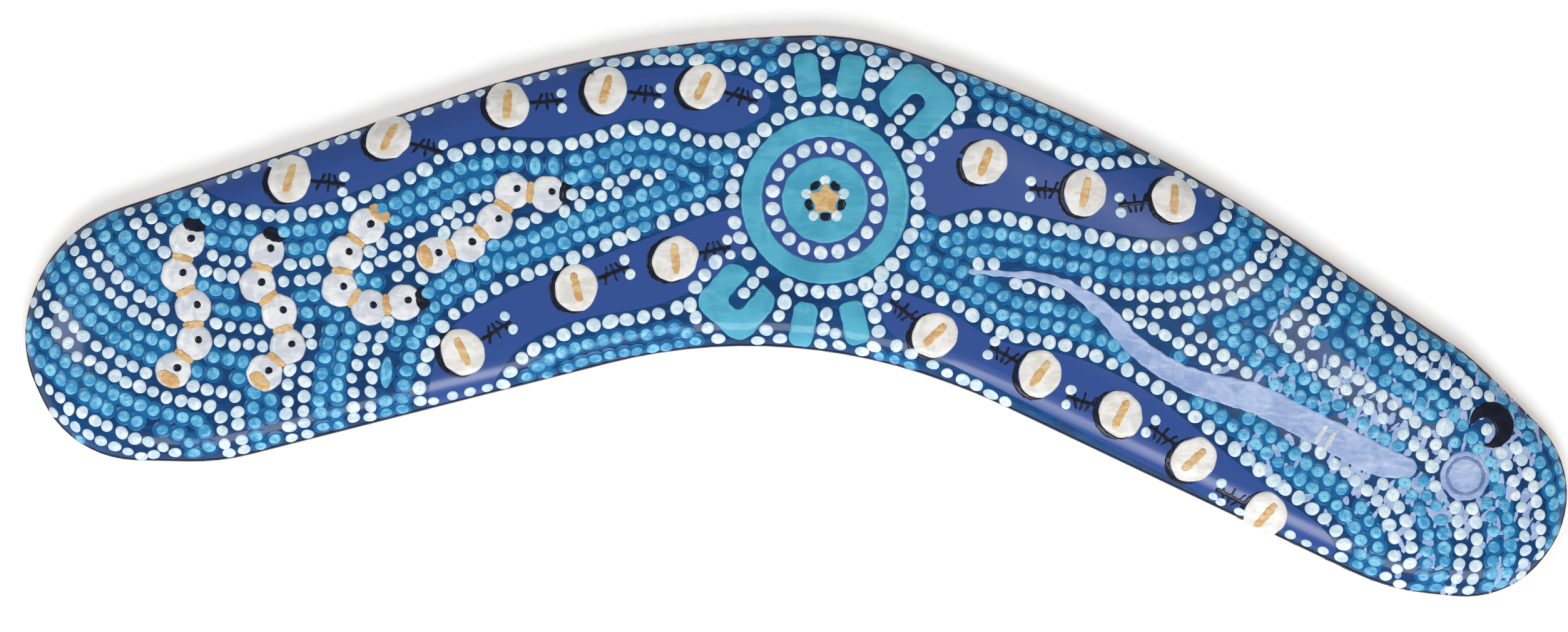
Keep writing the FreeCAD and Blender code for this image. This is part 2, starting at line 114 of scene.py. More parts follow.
@dataclass(eq=False)
class PlanShape:
    """A flat shape in the plan: its outer loop first, then the loops of its holes."""

    loops: list[np.ndarray]

    def sides(self) -> tuple[np.ndarray, np.ndarray]:
        """The starts and the ends of all the sides of the loops.

        Returns:
            Two lists of plan points, with one row for each side.
        """
        starts = np.vstack(self.loops)
        ends = np.vstack([np.roll(loop, -1, axis=0) for loop in self.loops])
        return starts, ends

    def centre(self) -> np.ndarray:
        """The middle of the outer loop's box."""
        return (self.loops[0].min(axis=0) + self.loops[0].max(axis=0)) / 2

    def radius(self) -> float:
        """Half of the mean of the outer loop's width and height."""
        return float((self.loops[0].max(axis=0) - self.loops[0].min(axis=0)).mean() / 2)

    def inside(self, points: np.ndarray) -> np.ndarray:
        """Tells which points lie in the shape.

        Args:
            points: plan points, one per row.

        Returns:
            True for each point in the shape.
        """
        starts, ends = self.sides()
        found = np.zeros(len(points), dtype=bool)
        for part in chunks(len(points)):
            x, y = points[part, 0, None], points[part, 1, None]
            spans = (starts[:, 1] > y) != (ends[:, 1] > y)
            rise = ends[:, 1] - starts[:, 1]
            rise = np.where(np.abs(rise) < TINY, TINY, rise)
            crossing = starts[:, 0] + (y - starts[:, 1]) / rise * (ends[:, 0] - starts[:, 0])
            found[part] = (spans & (x < crossing)).sum(axis=1) % 2 == 1
        return found

    def distance(self, points: np.ndarray) -> np.ndarray:
        """Measures how far each point lies from the nearest loop.

        Args:
            points: plan points, one per row.

        Returns:
            The distance of each point, never negative.
        """
        starts, ends = self.sides()
        run = ends - starts
        length = np.maximum((run**2).sum(axis=1), 1e-18)
        found = np.zeros(len(points))
        for part in chunks(len(points)):
            apart = points[part, None, :] - starts
            share = np.clip((apart * run).sum(axis=2) / length, 0.0, 1.0)
            gap = apart - share[:, :, None] * run
            found[part] = np.sqrt((gap**2).sum(axis=2).min(axis=1))
        return found

    def signed(self, points: np.ndarray) -> np.ndarray:
        """The distance of each point, negative inside the shape."""
        return np.where(self.inside(points), -1.0, 1.0) * self.distance(points)

    def as_dab(self, longer: float, wider: float) -> "PlanShape":
        """The dab of the brush that covers a long shape.

        Args:
            longer: how many times as long the dab is.
            wider: how many times as wide it is.

        Returns:
            The dab's shape.
        """
        apart = self.loops[0] - self.centre()
        _, vectors = np.linalg.eigh(apart.T @ apart)
        length = np.ptp(apart @ vectors[:, 1]) * longer
        width = np.ptp(apart @ vectors[:, 0]) * wider
        turn = math.atan2(vectors[1, 1], vectors[0, 1])
        return dab(*self.centre(), length, width, turn, 3.2)


def dab(x: float, y: float, length: float, width: float, turn: float,
        square: float = 2.6) -> PlanShape:
    """The shape of a dab of the brush.

    Args:
        x: its middle along the span.
        y: its middle across the span.
        length: its length.
        width: its width.
        turn: the bearing of its length, in radians.
        square: how square its ends are, from 2 for an ellipse.

    Returns:
        The shape.
    """
    angles = np.linspace(0.0, 2 * math.pi, 40, endpoint=False)
    along = np.sign(np.cos(angles)) * np.abs(np.cos(angles)) ** (2 / square) * length / 2
    across = np.sign(np.sin(angles)) * np.abs(np.sin(angles)) ** (2 / square) * width / 2
    c, s = math.cos(turn), math.sin(turn)
    return PlanShape([np.stack([x + along * c - across * s, y + along * s + across * c], axis=1)])


def loop_area(loop: np.ndarray) -> float:
    """The area in a closed loop, positive when it turns anticlockwise."""
    ahead = np.roll(loop, -1, axis=0)
    return float((loop[:, 0] * ahead[:, 1] - ahead[:, 0] * loop[:, 1]).sum() / 2)


def node_shapes(node: str) -> list[PlanShape]:
    """Reads the outlines of a CAD node as they look from above.

    Args:
        node: the CAD node's name.

    Returns:
        One shape for each separate island of the node's upper side.
    """
    mesh = frame["nodes"][node].data
    keys = [(round(v.co.x * 1e6), round(v.co.y * 1e6)) for v in mesh.vertices]
    directed: set[tuple] = set()
    for face in mesh.polygons:
        if face.normal.z < UPWARD:
            continue
        corners = [keys[i] for i in face.vertices]
        for a, b in zip(corners, corners[1:] + corners[:1]):
            if a != b:
                directed.add((a, b))
    onward: dict[tuple, list] = {}
    for a, b in sorted(directed):
        if (b, a) not in directed:
            onward.setdefault(a, []).append(b)
    loops = []
    while onward:
        start = next(iter(onward))
        loop, here = [], start
        while here in onward:
            loop.append(here)
            there = onward[here].pop()
            if not onward[here]:
                del onward[here]
            here = there
        if len(loop) > 3:
            loops.append(np.array(loop) * 1e-6)
    outer = [PlanShape([loop]) for loop in loops if loop_area(loop) > SLIVER]
    for loop in loops:
        if loop_area(loop) > -SLIVER:
            continue
        owner = next((s for s in outer if s.inside(loop[:1])[0]), None)
        if owner:
            owner.loops.append(loop)
    return outer


def even_steps(line: np.ndarray, step: float, closed: bool = True) -> np.ndarray:
    """Spaces points evenly along a line.

    Args:
        line: the line's points.
        step: the distance wanted between points.
        closed: whether the line runs back to its start.

    Returns:
        The evenly spaced points.
    """
    points = np.vstack([line, line[:1]]) if closed else line
    along = np.concatenate([[0.0], np.cumsum(np.linalg.norm(np.diff(points, axis=0), axis=1))])
    count = max(8 if closed else 1, round(along[-1] / step))
    places = np.linspace(0.0, along[-1], count + 1)[: count if closed else count + 1]
    return np.stack([np.interp(places, along, points[:, i]) for i in range(points.shape[1])], axis=1)


def kept_runs(line: np.ndarray, kept: np.ndarray) -> list[np.ndarray]:
    """Cuts a line into its runs of kept points.

    Args:
        line: plan points in order.
        kept: whether each point is kept.

    Returns:
        The runs of two points or more.
    """
    parts = np.split(np.arange(len(line)), np.flatnonzero(np.diff(kept.astype(int))) + 1)
    return [line[part] for part in parts if kept[part[0]] and len(part) > 1]


def side_normals(loop: np.ndarray) -> np.ndarray:
    """The directions square to a closed loop, to the left of its run.

    Args:
        loop: plan points of the closed loop, one per row.

    Returns:
        A direction of length 1 for each point.
    """
    run = np.roll(loop, -1, axis=0) - np.roll(loop, 1, axis=0)
    run /= np.maximum(np.linalg.norm(run, axis=1), TINY)[:, None]
    return np.stack([-run[:, 1], run[:, 0]], axis=1)


def beside_crescent() -> np.ndarray:
    """The place of the lone white drop to the left of the crescent."""
    crescent = node_shapes("dark_crescent")[0]
    return crescent.centre() - np.array([crescent.radius() * 2.05, crescent.radius() * 0.1])


def waver(x: float, y: float, scale: float, seed: float) -> float:
    """A smooth random number between about -1 and 1 for a place."""
    return noise.noise(Vector((x / scale, y / scale, seed)))


# ---------------------------------------------------------------- the painted side


class PaintedSide:
    """The domed side of the blank with the paint that lies on it so far."""

    def __init__(self, objects: list[Object]) -> None:
        """Gathers the surfaces that the next paint lands on.

        Args:
            objects: the ground and the pieces on it.
        """
        self.objects = objects
        places: list[Vector] = []
        faces: list[list[int]] = []
        for item in objects:
            first = len(places)
            places += [v.co.copy() for v in item.data.vertices]
            faces += [[first + i for i in face.vertices] for face in item.data.polygons]
        self.tree = BVHTree.FromPolygons(places, faces)

    def under(self, x: float, y: float) -> tuple[Vector, Vector]:
        """Finds the surface below a plan point.

        Args:
            x: the place along the span.
            y: the place across the span.

        Returns:
            The point on the surface, and the way that the surface faces there.
        """
        place, facing, _, _ = self.tree.ray_cast(Vector((x, y, ABOVE)), DOWN)
        if place is None:
            place, facing, _, _ = self.tree.find_nearest(Vector((x, y, RIM_HEIGHT)))
        return place, (facing if facing.z > 0 else -facing)

    def slope(self, x: float, y: float, reach: float) -> tuple[Vector, Vector]:
        """Finds the surface below a plan point, with its facing averaged over a small reach.

        Args:
            x: the place along the span.
            y: the place across the span.
            reach: half of the width that the facing is averaged over.

        Returns:
            The point on the surface, and the averaged facing.
        """
        place, facing = self.under(x, y)
        total = facing.copy()
        for dx, dy in ((reach, 0), (-reach, 0), (0, reach), (0, -reach)):
            total += self.under(x + dx, y + dy)[1]
        return place, total.normalized()

    def beside(self, place: Vector) -> Vector:
        """The point of the surface nearest to a place."""
        return self.tree.find_nearest(place)[0]

    def with_pieces(self, pieces: list[Object]) -> "PaintedSide":
        """The same side once more pieces lie on it."""
        return PaintedSide(self.objects + pieces)


# ---------------------------------------------------------------- shader sketches and groups


class Sketch:
    """A node tree that is being drawn."""

    def __init__(self, tree: NodeTree) -> None:
        """Keeps the tree to draw in."""
        self.tree = tree

    def add(self, kind: str, inputs: dict | None = None, **settings: object) -> Node:
        """Adds a node.

        Args:
            kind: the node's type.
            inputs: a value or a socket for each input, by its name or its number.
            settings: the node's own settings.

        Returns:
            The new node.
        """
        node = self.tree.nodes.new(kind)
        for key, value in settings.items():
            setattr(node, key, value)
        for key, value in (inputs or {}).items():
            if isinstance(value, NodeSocket):
                self.tree.links.new(value, node.inputs[key])
            else:
                node.inputs[key].default_value = value
        return node

    def maths(self, operation: str, *values: object) -> NodeSocket:
        """The result of a Math node on values or sockets."""
        return self.add("ShaderNodeMath", dict(enumerate(values)), operation=operation).outputs[0]

    def span(self, value: NodeSocket, low: float, high: float, to_low: float = 0.0,
             to_high: float = 1.0) -> NodeSocket:
        """The value moved smoothly from one span to another.

        Args:
            value: the socket with the value.
            low: where the first span starts.
            high: where the first span ends.
            to_low: what low becomes.
            to_high: what high becomes.

        Returns:
            The socket with the new value.
        """
        inputs = {0: value, 1: low, 2: high, 3: to_low, 4: to_high}
        node = self.add("ShaderNodeMapRange", inputs, interpolation_type="SMOOTHSTEP")
        return node.outputs[0]

    def blend(self, share: object, first: object, second: object, kind: str = "MIX") -> NodeSocket:
        """The colour between two colours at a share.

        Args:
            share: how much of the second colour shows, from 0 to 1, or its socket.
            first: the colour at a share of 0, or its socket.
            second: the colour at a share of 1, or its socket.
            kind: how the two are mixed.

        Returns:
            The socket with the colour.
        """
        node = self.tree.nodes.new("ShaderNodeMix")
        node.data_type = "RGBA"
        node.blend_type = kind
        for socket, value in ((0, share), (6, first), (7, second)):
            if isinstance(value, NodeSocket):
                self.tree.links.new(value, node.inputs[socket])
            else:
                node.inputs[socket].default_value = value
        return node.outputs[2]

    def put_out(self, leave: Node, **values: NodeSocket) -> NodeTree:
        """Links the values to a group's outputs, and gives back the finished group."""
        for name, value in values.items():
            self.tree.links.new(value, leave.inputs[name])
        return self.tree

    def mapped(self, vector: NodeSocket, scale: object, turn: object) -> NodeSocket:
        """A vector that is turned and stretched."""
        inputs = {"Vector": vector, "Scale": scale, "Rotation": turn}
        return self.add("ShaderNodeMapping", inputs).outputs[0]

    def noise(self, vector: NodeSocket, scale: object, detail: float = 3.0, rough: float = 0.5,
              warp: float = 0.0) -> NodeSocket:
        """The value of a Noise texture."""
        inputs = {"Vector": vector, "Scale": scale, "Detail": detail, "Roughness": rough,
                  "Distortion": warp}
        return self.add("ShaderNodeTexNoise", inputs).outputs[0]


def start_material(name: str) -> tuple[Material, Sketch, NodeSocket]:
    """Starts a material.

    Args:
        name: the material's name.

    Returns:
        The empty material, its sketch, and the object's own coordinates.
    """
    made = bpy.data.materials.new(name)
    made.use_nodes = True
    made.node_tree.nodes.clear()
    sketch = Sketch(made.node_tree)
    return made, sketch, sketch.add("ShaderNodeTexCoord").outputs["Object"]


FLOAT, COLOUR, VECTOR = "NodeSocketFloat", "NodeSocketColor", "NodeSocketVector"


def start_group(name: str, inputs: list[tuple], outputs: list[tuple]) -> tuple[Sketch, dict, Node]:
    """Starts a shader node group with named sockets.

    Args:
        name: the group's name.
        inputs: (name, socket type, default) of each input besides the vector that places the
            effect. The default is None for a vector.
        outputs: (name, socket type) of each output.

    Returns:
        The group's sketch, its input sockets by name, and its output node.
    """
    tree = bpy.data.node_groups.new(name, "ShaderNodeTree")
    inputs = [("Vector", VECTOR, None)] + inputs
    for socket, kind, value in inputs:
        made = tree.interface.new_socket(name=socket, in_out="INPUT", socket_type=kind)
        if value is not None:
            made.default_value = value
    for socket, kind in outputs:
        tree.interface.new_socket(name=socket, in_out="OUTPUT", socket_type=kind)
    sketch = Sketch(tree)
    entry = tree.nodes.new("NodeGroupInput")
    leave = tree.nodes.new("NodeGroupOutput")
    return sketch, {socket: entry.outputs[socket] for socket, _, _ in inputs}, leave


class Effects:
    """The shader node groups that the materials share, each built once."""

    def __init__(self) -> None:
        """Builds the groups."""
        self.brushed = self.build_brushed()
        self.varnish = self.build_varnish()
        self.thin_edge = self.build_thin_edge()
        self.veneer = self.build_veneer()

    def build_brushed(self) -> NodeTree:
        """Hand-brushed acrylic: soft mottling with streaks along the brush.

        Returns:
            The group. It puts out the colour, the roughness and the height of the paint.
        """
        sketch, given, leave = start_group(
            "brushed_paint",
            [("Colour", COLOUR, (0.1, 0.2, 0.4, 1)),
             ("Deep", COLOUR, (0.05, 0.1, 0.2, 1)), ("Pale", COLOUR, (0.2, 0.4, 0.6, 1)),
             ("Patch Scale", FLOAT, 90.0), ("Streak Scale", FLOAT, 900.0),
             ("Streak Share", FLOAT, 0.35)],
            [("Colour", COLOUR), ("Roughness", FLOAT), ("Height", FLOAT)],
        )
        drawn = sketch.mapped(given["Vector"], (0.22, 1.0, 1.0), (0.0, 0.0, 0.35))
        patches = sketch.noise(given["Vector"], given["Patch Scale"], 4.0, 0.55, 0.6)
        streaks = sketch.noise(drawn, given["Streak Scale"], 5.0, 0.62, 0.25)
        deep = sketch.span(patches, 0.40, 0.62)
        toned = sketch.blend(deep, given["Deep"], given["Colour"])
        pale = sketch.maths("MULTIPLY", sketch.span(streaks, 0.48, 0.72), given["Streak Share"])
        colour = sketch.blend(pale, toned, given["Pale"])
        rough = sketch.span(streaks, 0.3, 0.7, 0.30, 0.46)
        height = sketch.maths("MULTIPLY_ADD", streaks, 0.65, sketch.maths("MULTIPLY", patches, 0.35))
        return sketch.put_out(leave, Colour=colour, Roughness=rough, Height=height)

    def build_varnish(self) -> NodeTree:
        """Brushed varnish: long sags, fine specks of dust and hairline scratches.

        Returns:
            The group. It puts out a roughness to add and a height.
        """
        sketch, given, leave = start_group(
            "varnish_film",
            [("Sag Scale", FLOAT, 140.0), ("Speck Scale", FLOAT, 1500.0)],
            [("Roughness", FLOAT), ("Height", FLOAT)],
        )
        sags = sketch.noise(given["Vector"], given["Sag Scale"], 2.0, 0.4)
        cells = sketch.add("ShaderNodeTexVoronoi", {"Vector": given["Vector"],
                                                    "Scale": given["Speck Scale"]}).outputs[0]
        specks = sketch.span(cells, 0.0, 0.16, 1.0, 0.0)
        hair = sketch.mapped(given["Vector"], (0.06, 1.6, 1.0), (0.0, 0.0, -0.5))
        scratches = sketch.span(sketch.noise(hair, 1300.0, 2.0, 0.5), 0.68, 0.74)
        rough = sketch.maths("MULTIPLY_ADD", scratches, 0.10, sketch.maths("MULTIPLY", specks, 0.12))
        height = sketch.maths("MULTIPLY_ADD", specks, 0.25, sags)
        height = sketch.maths("MULTIPLY_ADD", scratches, -0.10, height)
        return sketch.put_out(leave, Roughness=rough, Height=height)

    def build_thin_edge(self) -> NodeTree:
        """Paint that thins and wears at its edge, so that the ground shows through.

        Returns:
            The group. It puts out the colour and the share of paint that is worn.
        """
        sketch, given, leave = start_group(
            "thin_edge",
            [("Depth", FLOAT, 1.0), ("Paint", COLOUR, (1, 1, 1, 1)),
             ("Ground", COLOUR, (0.02, 0.08, 0.2, 1)), ("Wear", FLOAT, 0.5)],
            [("Colour", COLOUR), ("Worn", FLOAT)],
        )
        ragged = sketch.noise(given["Vector"], 1600.0, 3.0, 0.6)
        edge = sketch.maths("MULTIPLY_ADD", ragged, 0.5, given["Depth"])
        worn = sketch.maths("MULTIPLY", sketch.span(edge, 0.30, 0.62, 1.0, 0.0), given["Wear"])
        colour = sketch.blend(worn, given["Paint"], given["Ground"])
        return sketch.put_out(leave, Colour=colour, Worn=worn)

    def build_veneer(self) -> NodeTree:
        """Birch veneer: growth bands, fine pores along the grain, and rays.

        Returns:
            The group. It puts out the colour, the roughness and the height of the wood.
        """
        sketch, given, leave = start_group(
            "birch_veneer",
            [("Early", COLOUR, (0.7, 0.5, 0.3, 1)),
             ("Late", COLOUR, (0.5, 0.3, 0.15, 1)), ("Pore", COLOUR, (0.3, 0.16, 0.07, 1)),
             ("Turn", VECTOR, None), ("Stretch", VECTOR, None)],
            [("Colour", COLOUR), ("Roughness", FLOAT), ("Height", FLOAT)],
        )
        turned = sketch.add("ShaderNodeMapping", {"Vector": given["Vector"],
                                                  "Rotation": given["Turn"]}).outputs[0]
        along = sketch.add("ShaderNodeMapping", {"Vector": turned,
                                                 "Scale": given["Stretch"]}).outputs[0]
        bend = sketch.noise(along, 14.0, 2.0, 0.5)
        bands_at = sketch.add("ShaderNodeVectorMath", {0: along, 1: bend}, operation="ADD").outputs[0]
        bands = sketch.add("ShaderNodeTexWave", {"Vector": bands_at, "Scale": 26.0, "Distortion": 7.0,
                                                 "Detail": 3.0, "Detail Scale": 1.4},
                           bands_direction="Y", wave_profile="SAW").outputs[1]
        fibre = sketch.noise(along, 420.0, 6.0, 0.7, 0.2)
        pores = sketch.span(sketch.noise(along, 760.0, 2.0, 0.5), 0.64, 0.74)
        tone = sketch.maths("MULTIPLY_ADD", bands, 0.45, sketch.maths("MULTIPLY", fibre, 0.6))
        colour = sketch.blend(sketch.span(tone, 0.2, 0.85), given["Early"], given["Late"])
        colour = sketch.blend(sketch.maths("MULTIPLY", pores, 0.65), colour, given["Pore"])
        rough = sketch.span(fibre, 0.3, 0.7, 0.36, 0.52)
        height = sketch.maths("SUBTRACT", fibre, pores)
        return sketch.put_out(leave, Colour=colour, Roughness=rough, Height=height)


# ---------------------------------------------------------------- finishes


def tone(red: int, green: int, blue: int) -> tuple[float, float, float, float]:
    """The linear colour of a display colour in steps of 0 to 255.

    Args:
        red: its step of red.
        green: its step of green.
        blue: its step of blue.

    Returns:
        The linear red, green and blue, and an alpha of 1.
    """
    shares = [value / 255 for value in (red, green, blue)]
    linear = [s / 12.92 if s <= 0.04045 else ((s + 0.055) / 1.055) ** 2.4 for s in shares]
    return (*linear, 1.0)


NAVY = tone(4, 56, 130)
NAVY_DEEP = tone(3, 44, 96)
GROUND = tone(3, 66, 122)


@dataclass(frozen=True)
class PaintFinish:
    """Acrylic paint under gloss varnish, with the name of a record slot, its three tones and
    how the brush left it."""

    name: str
    slot: str
    colour: tuple
    deep: tuple
    pale: tuple
    patch_scale: float = 90.0
    streak_scale: float = 900.0
    streak_share: float = 0.35
    wear: float = 0.0
    bump: float = 0.25
    coat: float = 0.34
    coat_roughness: float = 0.09
    # turns on the batch tint and the painted shade of round drops
    batch_tint_and_shade: bool = False

    def material(self, effects: Effects) -> Material:
        """Draws the finish as a material.

        Args:
            effects: the shared node groups.

        Returns:
            The material.
        """
        made, sketch, place = start_material(self.name)
        brushed = sketch.add("ShaderNodeGroup",
                             {"Vector": place, "Colour": self.colour, "Deep": self.deep,
                              "Pale": self.pale, "Patch Scale": self.patch_scale,
                              "Streak Scale": self.streak_scale,
                              "Streak Share": self.streak_share}, node_tree=effects.brushed)
        film = sketch.add("ShaderNodeGroup", {"Vector": place}, node_tree=effects.varnish)
        colour = brushed.outputs["Colour"]
        depth = None
        if self.wear > 0 or self.batch_tint_and_shade:
            depth = sketch.add("ShaderNodeAttribute", attribute_name="paint_depth")
        # round drops get a batch tint, plus painted shade in their dimple and at their edge
        if self.batch_tint_and_shade:
            colour = self.pool(sketch, colour, depth)
        if self.wear > 0:
            edge = sketch.add("ShaderNodeGroup",
                              {"Vector": place, "Paint": colour, "Depth": depth.outputs["Fac"],
                               "Ground": NAVY_DEEP, "Wear": self.wear},
                              node_tree=effects.thin_edge)
            colour = edge.outputs["Colour"]
        rough = sketch.maths("ADD", brushed.outputs["Roughness"], film.outputs["Roughness"])
        height = sketch.maths("MULTIPLY_ADD", film.outputs["Height"], 0.5, brushed.outputs["Height"])
        bump = sketch.add("ShaderNodeBump", {"Strength": self.bump, "Distance": 0.00012,
                                             "Height": height})
        shader = sketch.add("ShaderNodeBsdfPrincipled",
                            {"Base Color": colour, "Roughness": rough, "Normal": bump.outputs[0],
                             "IOR": 1.49, "Specular IOR Level": 0.12, "Coat Weight": self.coat,
                             "Coat Roughness": self.coat_roughness, "Coat IOR": 1.5})
        sketch.add("ShaderNodeOutputMaterial", {"Surface": shader.outputs[0]})
        return made

    def pool(self, sketch: Sketch, colour: NodeSocket, depth: Node) -> NodeSocket:
        """Tints a drop by its batch of paint, and paints shade on it: darker in the stick's dimple
        and towards its edge.

        Args:
            sketch: the material's sketch.
            colour: the paint's colour.
            depth: the attribute that holds the depth, the distance from the middle and the batch.

        Returns:
            The colour with its batch tint and painted shade.
        """
        parts = sketch.add("ShaderNodeSeparateColor", {"Color": depth.outputs["Color"]})
        colour = sketch.blend(sketch.span(parts.outputs[2], 0.2, 1.0, 0.0, 0.4), colour, self.deep)
        # painted shade: darker in the dimple that the stick leaves in the drop's middle
        ring = sketch.span(parts.outputs[1], 0.05, 0.30, 0.8, 0.0)
        colour = sketch.blend(ring, colour, self.deep)
        # painted shade: darker towards the drop's edge, where its dome falls away
        rim = sketch.span(parts.outputs[1], 0.8, 1.0, 0.0, 0.55)
        return sketch.blend(rim, colour, self.deep)


class Grain(Enum):
    """The way that a veneer's grain runs."""

    LONG = (0.0, 0.0, 0.0)
    CROSS = (0.0, 0.0, math.pi / 2)


@dataclass(frozen=True)
class VeneerFinish:
    """Birch veneer under clear varnish."""

    name: str
    grain: Grain
    early: tuple
    late: tuple
    pore: tuple
    bump: float = 0.35

    def material(self, effects: Effects) -> Material:
        """Draws the finish as a material.

        Args:
            effects: the shared node groups.

        Returns:
            The material.
        """
        made, sketch, place = start_material(self.name)
        wood = sketch.add("ShaderNodeGroup",
                          {"Vector": place, "Early": self.early, "Late": self.late,
                           "Pore": self.pore, "Turn": self.grain.value,
                           "Stretch": (0.07, 1.0, 1.0)}, node_tree=effects.veneer)
        film = sketch.add("ShaderNodeGroup", {"Vector": place}, node_tree=effects.varnish)
        rough = sketch.maths("ADD", wood.outputs["Roughness"], film.outputs["Roughness"])
        height = sketch.maths("MULTIPLY_ADD", film.outputs["Height"], 0.4, wood.outputs["Height"])
        bump = sketch.add("ShaderNodeBump", {"Strength": self.bump, "Distance": 0.0001,
                                             "Height": height})
        shader = sketch.add("ShaderNodeBsdfPrincipled",
                            {"Base Color": wood.outputs["Colour"], "Roughness": rough,
                             "Normal": bump.outputs[0], "Coat Weight": 0.4,
                             "Coat Roughness": 0.16})
        sketch.add("ShaderNodeOutputMaterial", {"Surface": shader.outputs[0]})
        return made


class Paint(Enum):
    """The paints on the boomerang, each with its finish."""

    GROUND = PaintFinish("mid_blue_ground", "blue_ground", GROUND, tone(2, 52, 102),
                         tone(10, 98, 160), patch_scale=70.0, streak_scale=700.0, streak_share=0.4,
                         bump=0.35)
    NAVY = PaintFinish("navy_ground", "navy_ground", NAVY, NAVY_DEEP, tone(12, 74, 150),
                       patch_scale=60.0, streak_scale=620.0, bump=0.4)
    TURQUOISE = PaintFinish("turquoise_paint", "turquoise", tone(86, 178, 206), tone(70, 162, 192),
                            tone(120, 196, 216), patch_scale=110.0, streak_scale=650.0,
                            streak_share=0.4, wear=0.3, bump=0.3)
    WHITE = PaintFinish("white_drops", "white", tone(236, 248, 252), tone(192, 216, 232),
                        tone(246, 252, 255), patch_scale=300.0, streak_scale=1200.0,
                        streak_share=0.5, wear=0.12, bump=0.15, batch_tint_and_shade=True)
    SKY = PaintFinish("light_blue_drops", "turquoise", tone(134, 210, 240), tone(62, 152, 202),
                      tone(180, 230, 248), patch_scale=260.0, streak_scale=1200.0, streak_share=0.5,
                      wear=0.15, bump=0.15, batch_tint_and_shade=True)
    WASH = PaintFinish("mid_blue_wash", "blue_ground", tone(6, 104, 162), tone(2, 84, 142),
                       tone(24, 126, 182), patch_scale=120.0, streak_scale=700.0, streak_share=0.4,
                       bump=0.3)
    BEAD = PaintFinish("bead_white", "white", tone(236, 238, 240), tone(206, 212, 222),
                       tone(250, 250, 250), patch_scale=240.0, streak_scale=800.0, streak_share=0.5,
                       wear=0.3, bump=0.3)
    CREAM = PaintFinish("cream_paint", "cream", tone(240, 239, 236), tone(222, 219, 213),
                        tone(250, 249, 247), patch_scale=220.0, streak_scale=700.0,
                        streak_share=0.6, wear=0.25, bump=0.4)
    OCHRE = PaintFinish("ochre_paint", "ochre", tone(224, 188, 132), tone(206, 160, 102),
                        tone(240, 222, 188), patch_scale=420.0, streak_share=0.6, wear=0.15,
                        bump=0.35)
    DARK = PaintFinish("dark_paint", "dark", tone(14, 22, 44), tone(8, 12, 26), tone(24, 40, 76),
                       patch_scale=300.0, streak_share=0.5, wear=0.15, bump=0.3)
    LAVENDER = PaintFinish("lavender_paint", "lavender", tone(172, 192, 230), tone(146, 170, 216),
                           tone(206, 218, 242), patch_scale=160.0, streak_scale=620.0,
                           streak_share=0.6, wear=0.45, bump=0.5)
    LAVENDER_DEEP = PaintFinish("lavender_ring", "lavender", tone(120, 138, 186),
                                tone(100, 118, 168), tone(150, 166, 206), patch_scale=200.0,
                                streak_scale=620.0, streak_share=0.6, wear=0.4, bump=0.4)
    # painted shade: the dark, unvarnished paint of the thin line round the rim
    RIM = PaintFinish("painted_rim_shade", "dark", tone(12, 28, 58), tone(8, 16, 36), tone(20, 44, 84),
                      patch_scale=200.0, streak_scale=700.0, streak_share=0.4, bump=0.3, coat=0.0)

    def build(self, effects: Effects) -> Material:
        """The paint's material, drawn the first time that it is asked for."""
        return bpy.data.materials.get(self.value.name) or self.value.material(effects)


# ---------------------------------------------------------------- pieces of mesh


@dataclass
class Pile:
    """Mesh that is being gathered for one piece: points, faces, and the paint's depth at each point
    as (depth, distance from the middle, batch)."""

    places: list = field(default_factory=list)
    faces: list = field(default_factory=list)
    depths: list = field(default_factory=list)

    def add(self, places: list, faces: list, depths: list) -> None:
        """Adds points and faces that are numbered from the first of these points.

        Args:
            places: the points.
            faces: each face's points, by number.
            depths: the paint's depth at each point.
        """
        first = len(self.places)
        self.places += places
        self.depths += depths
        self.faces += [[first + i for i in face] for face in faces]

    def piece(self, name: str, paint: Paint, effects: Effects, nodes: tuple = ()) -> Object:
        """Makes the piece.

        Args:
            name: the piece's name.
            paint: its paint.
            effects: the shared node groups.
            nodes: the CAD nodes that it stands for.

        Returns:
            The new object.
        """
        mesh = bpy.data.meshes.new(name)
        mesh.from_pydata([tuple(p) for p in self.places], [], self.faces)
        mesh.shade_smooth()
        layer = mesh.color_attributes.new("paint_depth", "FLOAT_COLOR", "POINT")
        values = np.ones((len(self.places), 4), dtype=np.float32)
        values[:, :3] = np.array(self.depths, dtype=np.float32)
        layer.data.foreach_set("color", values.ravel())
        mesh.materials.append(paint.build(effects))
        made = bpy.data.objects.new(name, mesh)
        bpy.context.scene.collection.objects.link(made)
        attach(made, BODY)
        if nodes:
            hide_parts(*nodes)
        return made


